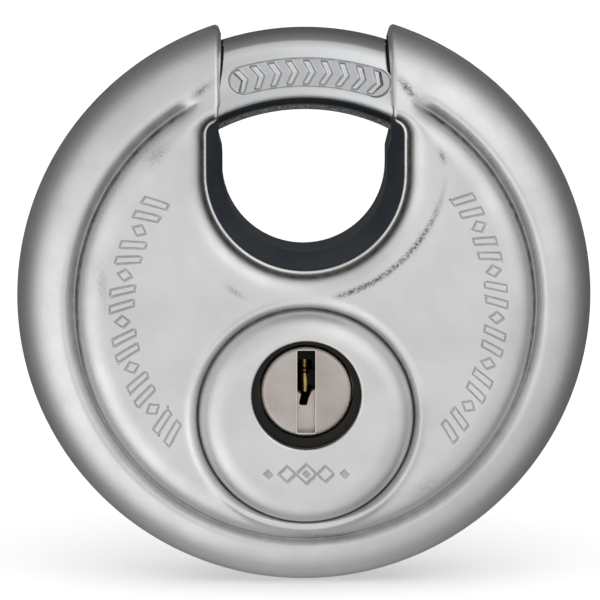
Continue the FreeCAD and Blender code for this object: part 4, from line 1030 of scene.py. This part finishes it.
# brightness by the angle from straight in front (-Y) to straight behind
remap = wn.nodes.new("ShaderNodeMapRange")
remap.inputs["From Min"].default_value = 1.0
remap.inputs["From Max"].default_value = -1.0
remap.inputs["To Min"].default_value = 0.0
remap.inputs["To Max"].default_value = 1.0
wn.links.new(sep.outputs["Y"], remap.inputs["Value"])
ramp = wn.nodes.new("ShaderNodeValToRGB")
ramp.color_ramp.interpolation = "LINEAR"
stops = [(0.0, 0.10), (0.20, 0.14), (0.40, 0.22), (0.47, 0.27), (0.53, 0.62), (0.72, 0.88), (0.86, 0.86), (1.0, 0.82)]
while len(ramp.color_ramp.elements) < len(stops):
    ramp.color_ramp.elements.new(0.5)
for e, (pos, val) in zip(ramp.color_ramp.elements, stops):
    e.position = pos
    e.color = (val, val, val, 1)
wn.links.new(remap.outputs["Result"], ramp.inputs["Fac"])
# a little brighter towards the left and from above
dot = wn.nodes.new("ShaderNodeVectorMath")
dot.operation = "DOT_PRODUCT"
dot.inputs[1].default_value = (-0.10, 0.0, 0.08)
wn.links.new(tc.outputs["Generated"], dot.inputs[0])
add = wn.nodes.new("ShaderNodeMath")
add.operation = "ADD"
add.inputs[1].default_value = 1.0
wn.links.new(dot.outputs["Value"], add.inputs[0])
gain = add.outputs[0]
# softboxes and dark flags of the studio, each a soft lobe around its direction
for way, amount in (((-0.77, -0.64, 0.0), 0.26), ((0.54, -0.64, 0.54), 0.44),
                    ((-0.54, -0.64, 0.54), -0.42), ((0.54, -0.64, -0.54), -0.12), ((-0.62, -0.36, -0.70), 0.40)):
    d1 = wn.nodes.new("ShaderNodeVectorMath")
    d1.operation = "DOT_PRODUCT"
    d1.inputs[1].default_value = way
    wn.links.new(tc.outputs["Generated"], d1.inputs[0])
    mx = wn.nodes.new("ShaderNodeMath")
    mx.operation = "MAXIMUM"
    mx.inputs[1].default_value = 0.0
    wn.links.new(d1.outputs["Value"], mx.inputs[0])
    pw = wn.nodes.new("ShaderNodeMath")
    pw.operation = "POWER"
    pw.inputs[1].default_value = 6.0
    wn.links.new(mx.outputs[0], pw.inputs[0])
    ma = wn.nodes.new("ShaderNodeMath")
    ma.operation = "MULTIPLY_ADD"
    ma.inputs[1].default_value = amount
    wn.links.new(pw.outputs[0], ma.inputs[0])
    wn.links.new(gain, ma.inputs[2])
    gain = ma.outputs[0]
mul = wn.nodes.new("ShaderNodeMath")
mul.operation = "MULTIPLY"
wn.links.new(ramp.outputs["Color"], mul.inputs[0])
wn.links.new(gain, mul.inputs[1])
# the pale table behind and below, seen only in the lower edges
d2 = wn.nodes.new("ShaderNodeVectorMath")
d2.operation = "DOT_PRODUCT"
d2.inputs[1].default_value = (0.0, 0.47, -0.883)
wn.links.new(tc.outputs["Generated"], d2.inputs[0])
mx = wn.nodes.new("ShaderNodeMath")
mx.operation = "MAXIMUM"
mx.inputs[1].default_value = 0.0
wn.links.new(d2.outputs["Value"], mx.inputs[0])
pw = wn.nodes.new("ShaderNodeMath")
pw.operation = "POWER"
pw.inputs[1].default_value = 8.0
wn.links.new(mx.outputs[0], pw.inputs[0])
table = wn.nodes.new("ShaderNodeMath")
table.operation = "MULTIPLY_ADD"
table.inputs[1].default_value = 0.33
wn.links.new(pw.outputs[0], table.inputs[0])
wn.links.new(mul.outputs[0], table.inputs[2])
wn.links.new(table.outputs[0], bg.inputs["Strength"])
bg.inputs["Color"].default_value = (1.0, 1.0, 0.998, 1)
floor.visible_glossy = False


def area(name, place, aim, size_x, size_y, power, colour=(1, 1, 1), glossy=True):
    li = bpy.data.lights.new(name, "AREA")
    li.shape = "RECTANGLE"
    li.size, li.size_y = size_x, size_y
    li.energy = power
    li.color = colour
    ob = bpy.data.objects.new(name, li)
    bpy.context.scene.collection.objects.link(ob)
    ob.location = place
    d = Vector(aim) - Vector(place)
    ob.rotation_euler = d.to_track_quat("-Z", "Y").to_euler()
    ob.visible_glossy = glossy
    return ob


centre = Vector((0, 0, -DROP * MM))
area("key", (-0.55, -0.75, 0.60), centre, 1.10, 1.10, 1.1, glossy=False)
sun = bpy.data.lights.new("overhead", "SUN")
sun.energy = 1.9
sun.angle = math.radians(110.0)
sun_ob = bpy.data.objects.new("overhead", sun)
bpy.context.scene.collection.objects.link(sun_ob)
sun_ob.visible_glossy = False

# -------------------------------------------------------------------- camera
az, el, dist = math.radians(-1.3), math.radians(9.0), 0.6
back = Vector((math.sin(az) * math.cos(el), -math.cos(az) * math.cos(el), math.sin(el)))
right = Vector((math.cos(az), math.sin(az), 0.0))
up = back.cross(right).normalized() * 1.0
if up.z < 0:
    up = -up
px = 1.0 / 8.19 * MM
target = centre - right * (4.1 * px) - up * (3.9 * px)
cam_data = bpy.data.cameras.new("camera")
cam_data.sensor_width = 36.0
cam_data.lens = 294.8
cam_data.clip_start, cam_data.clip_end = 0.01, 50.0
cam = bpy.data.objects.new("camera", cam_data)
bpy.context.scene.collection.objects.link(cam)
cam.location = target + back * dist
cam.rotation_euler = (target - cam.location).to_track_quat("-Z", "Y").to_euler()
bpy.context.scene.camera = cam
bpy.context.scene.view_settings.view_transform = "Standard"

bpy.context.view_layer.update()
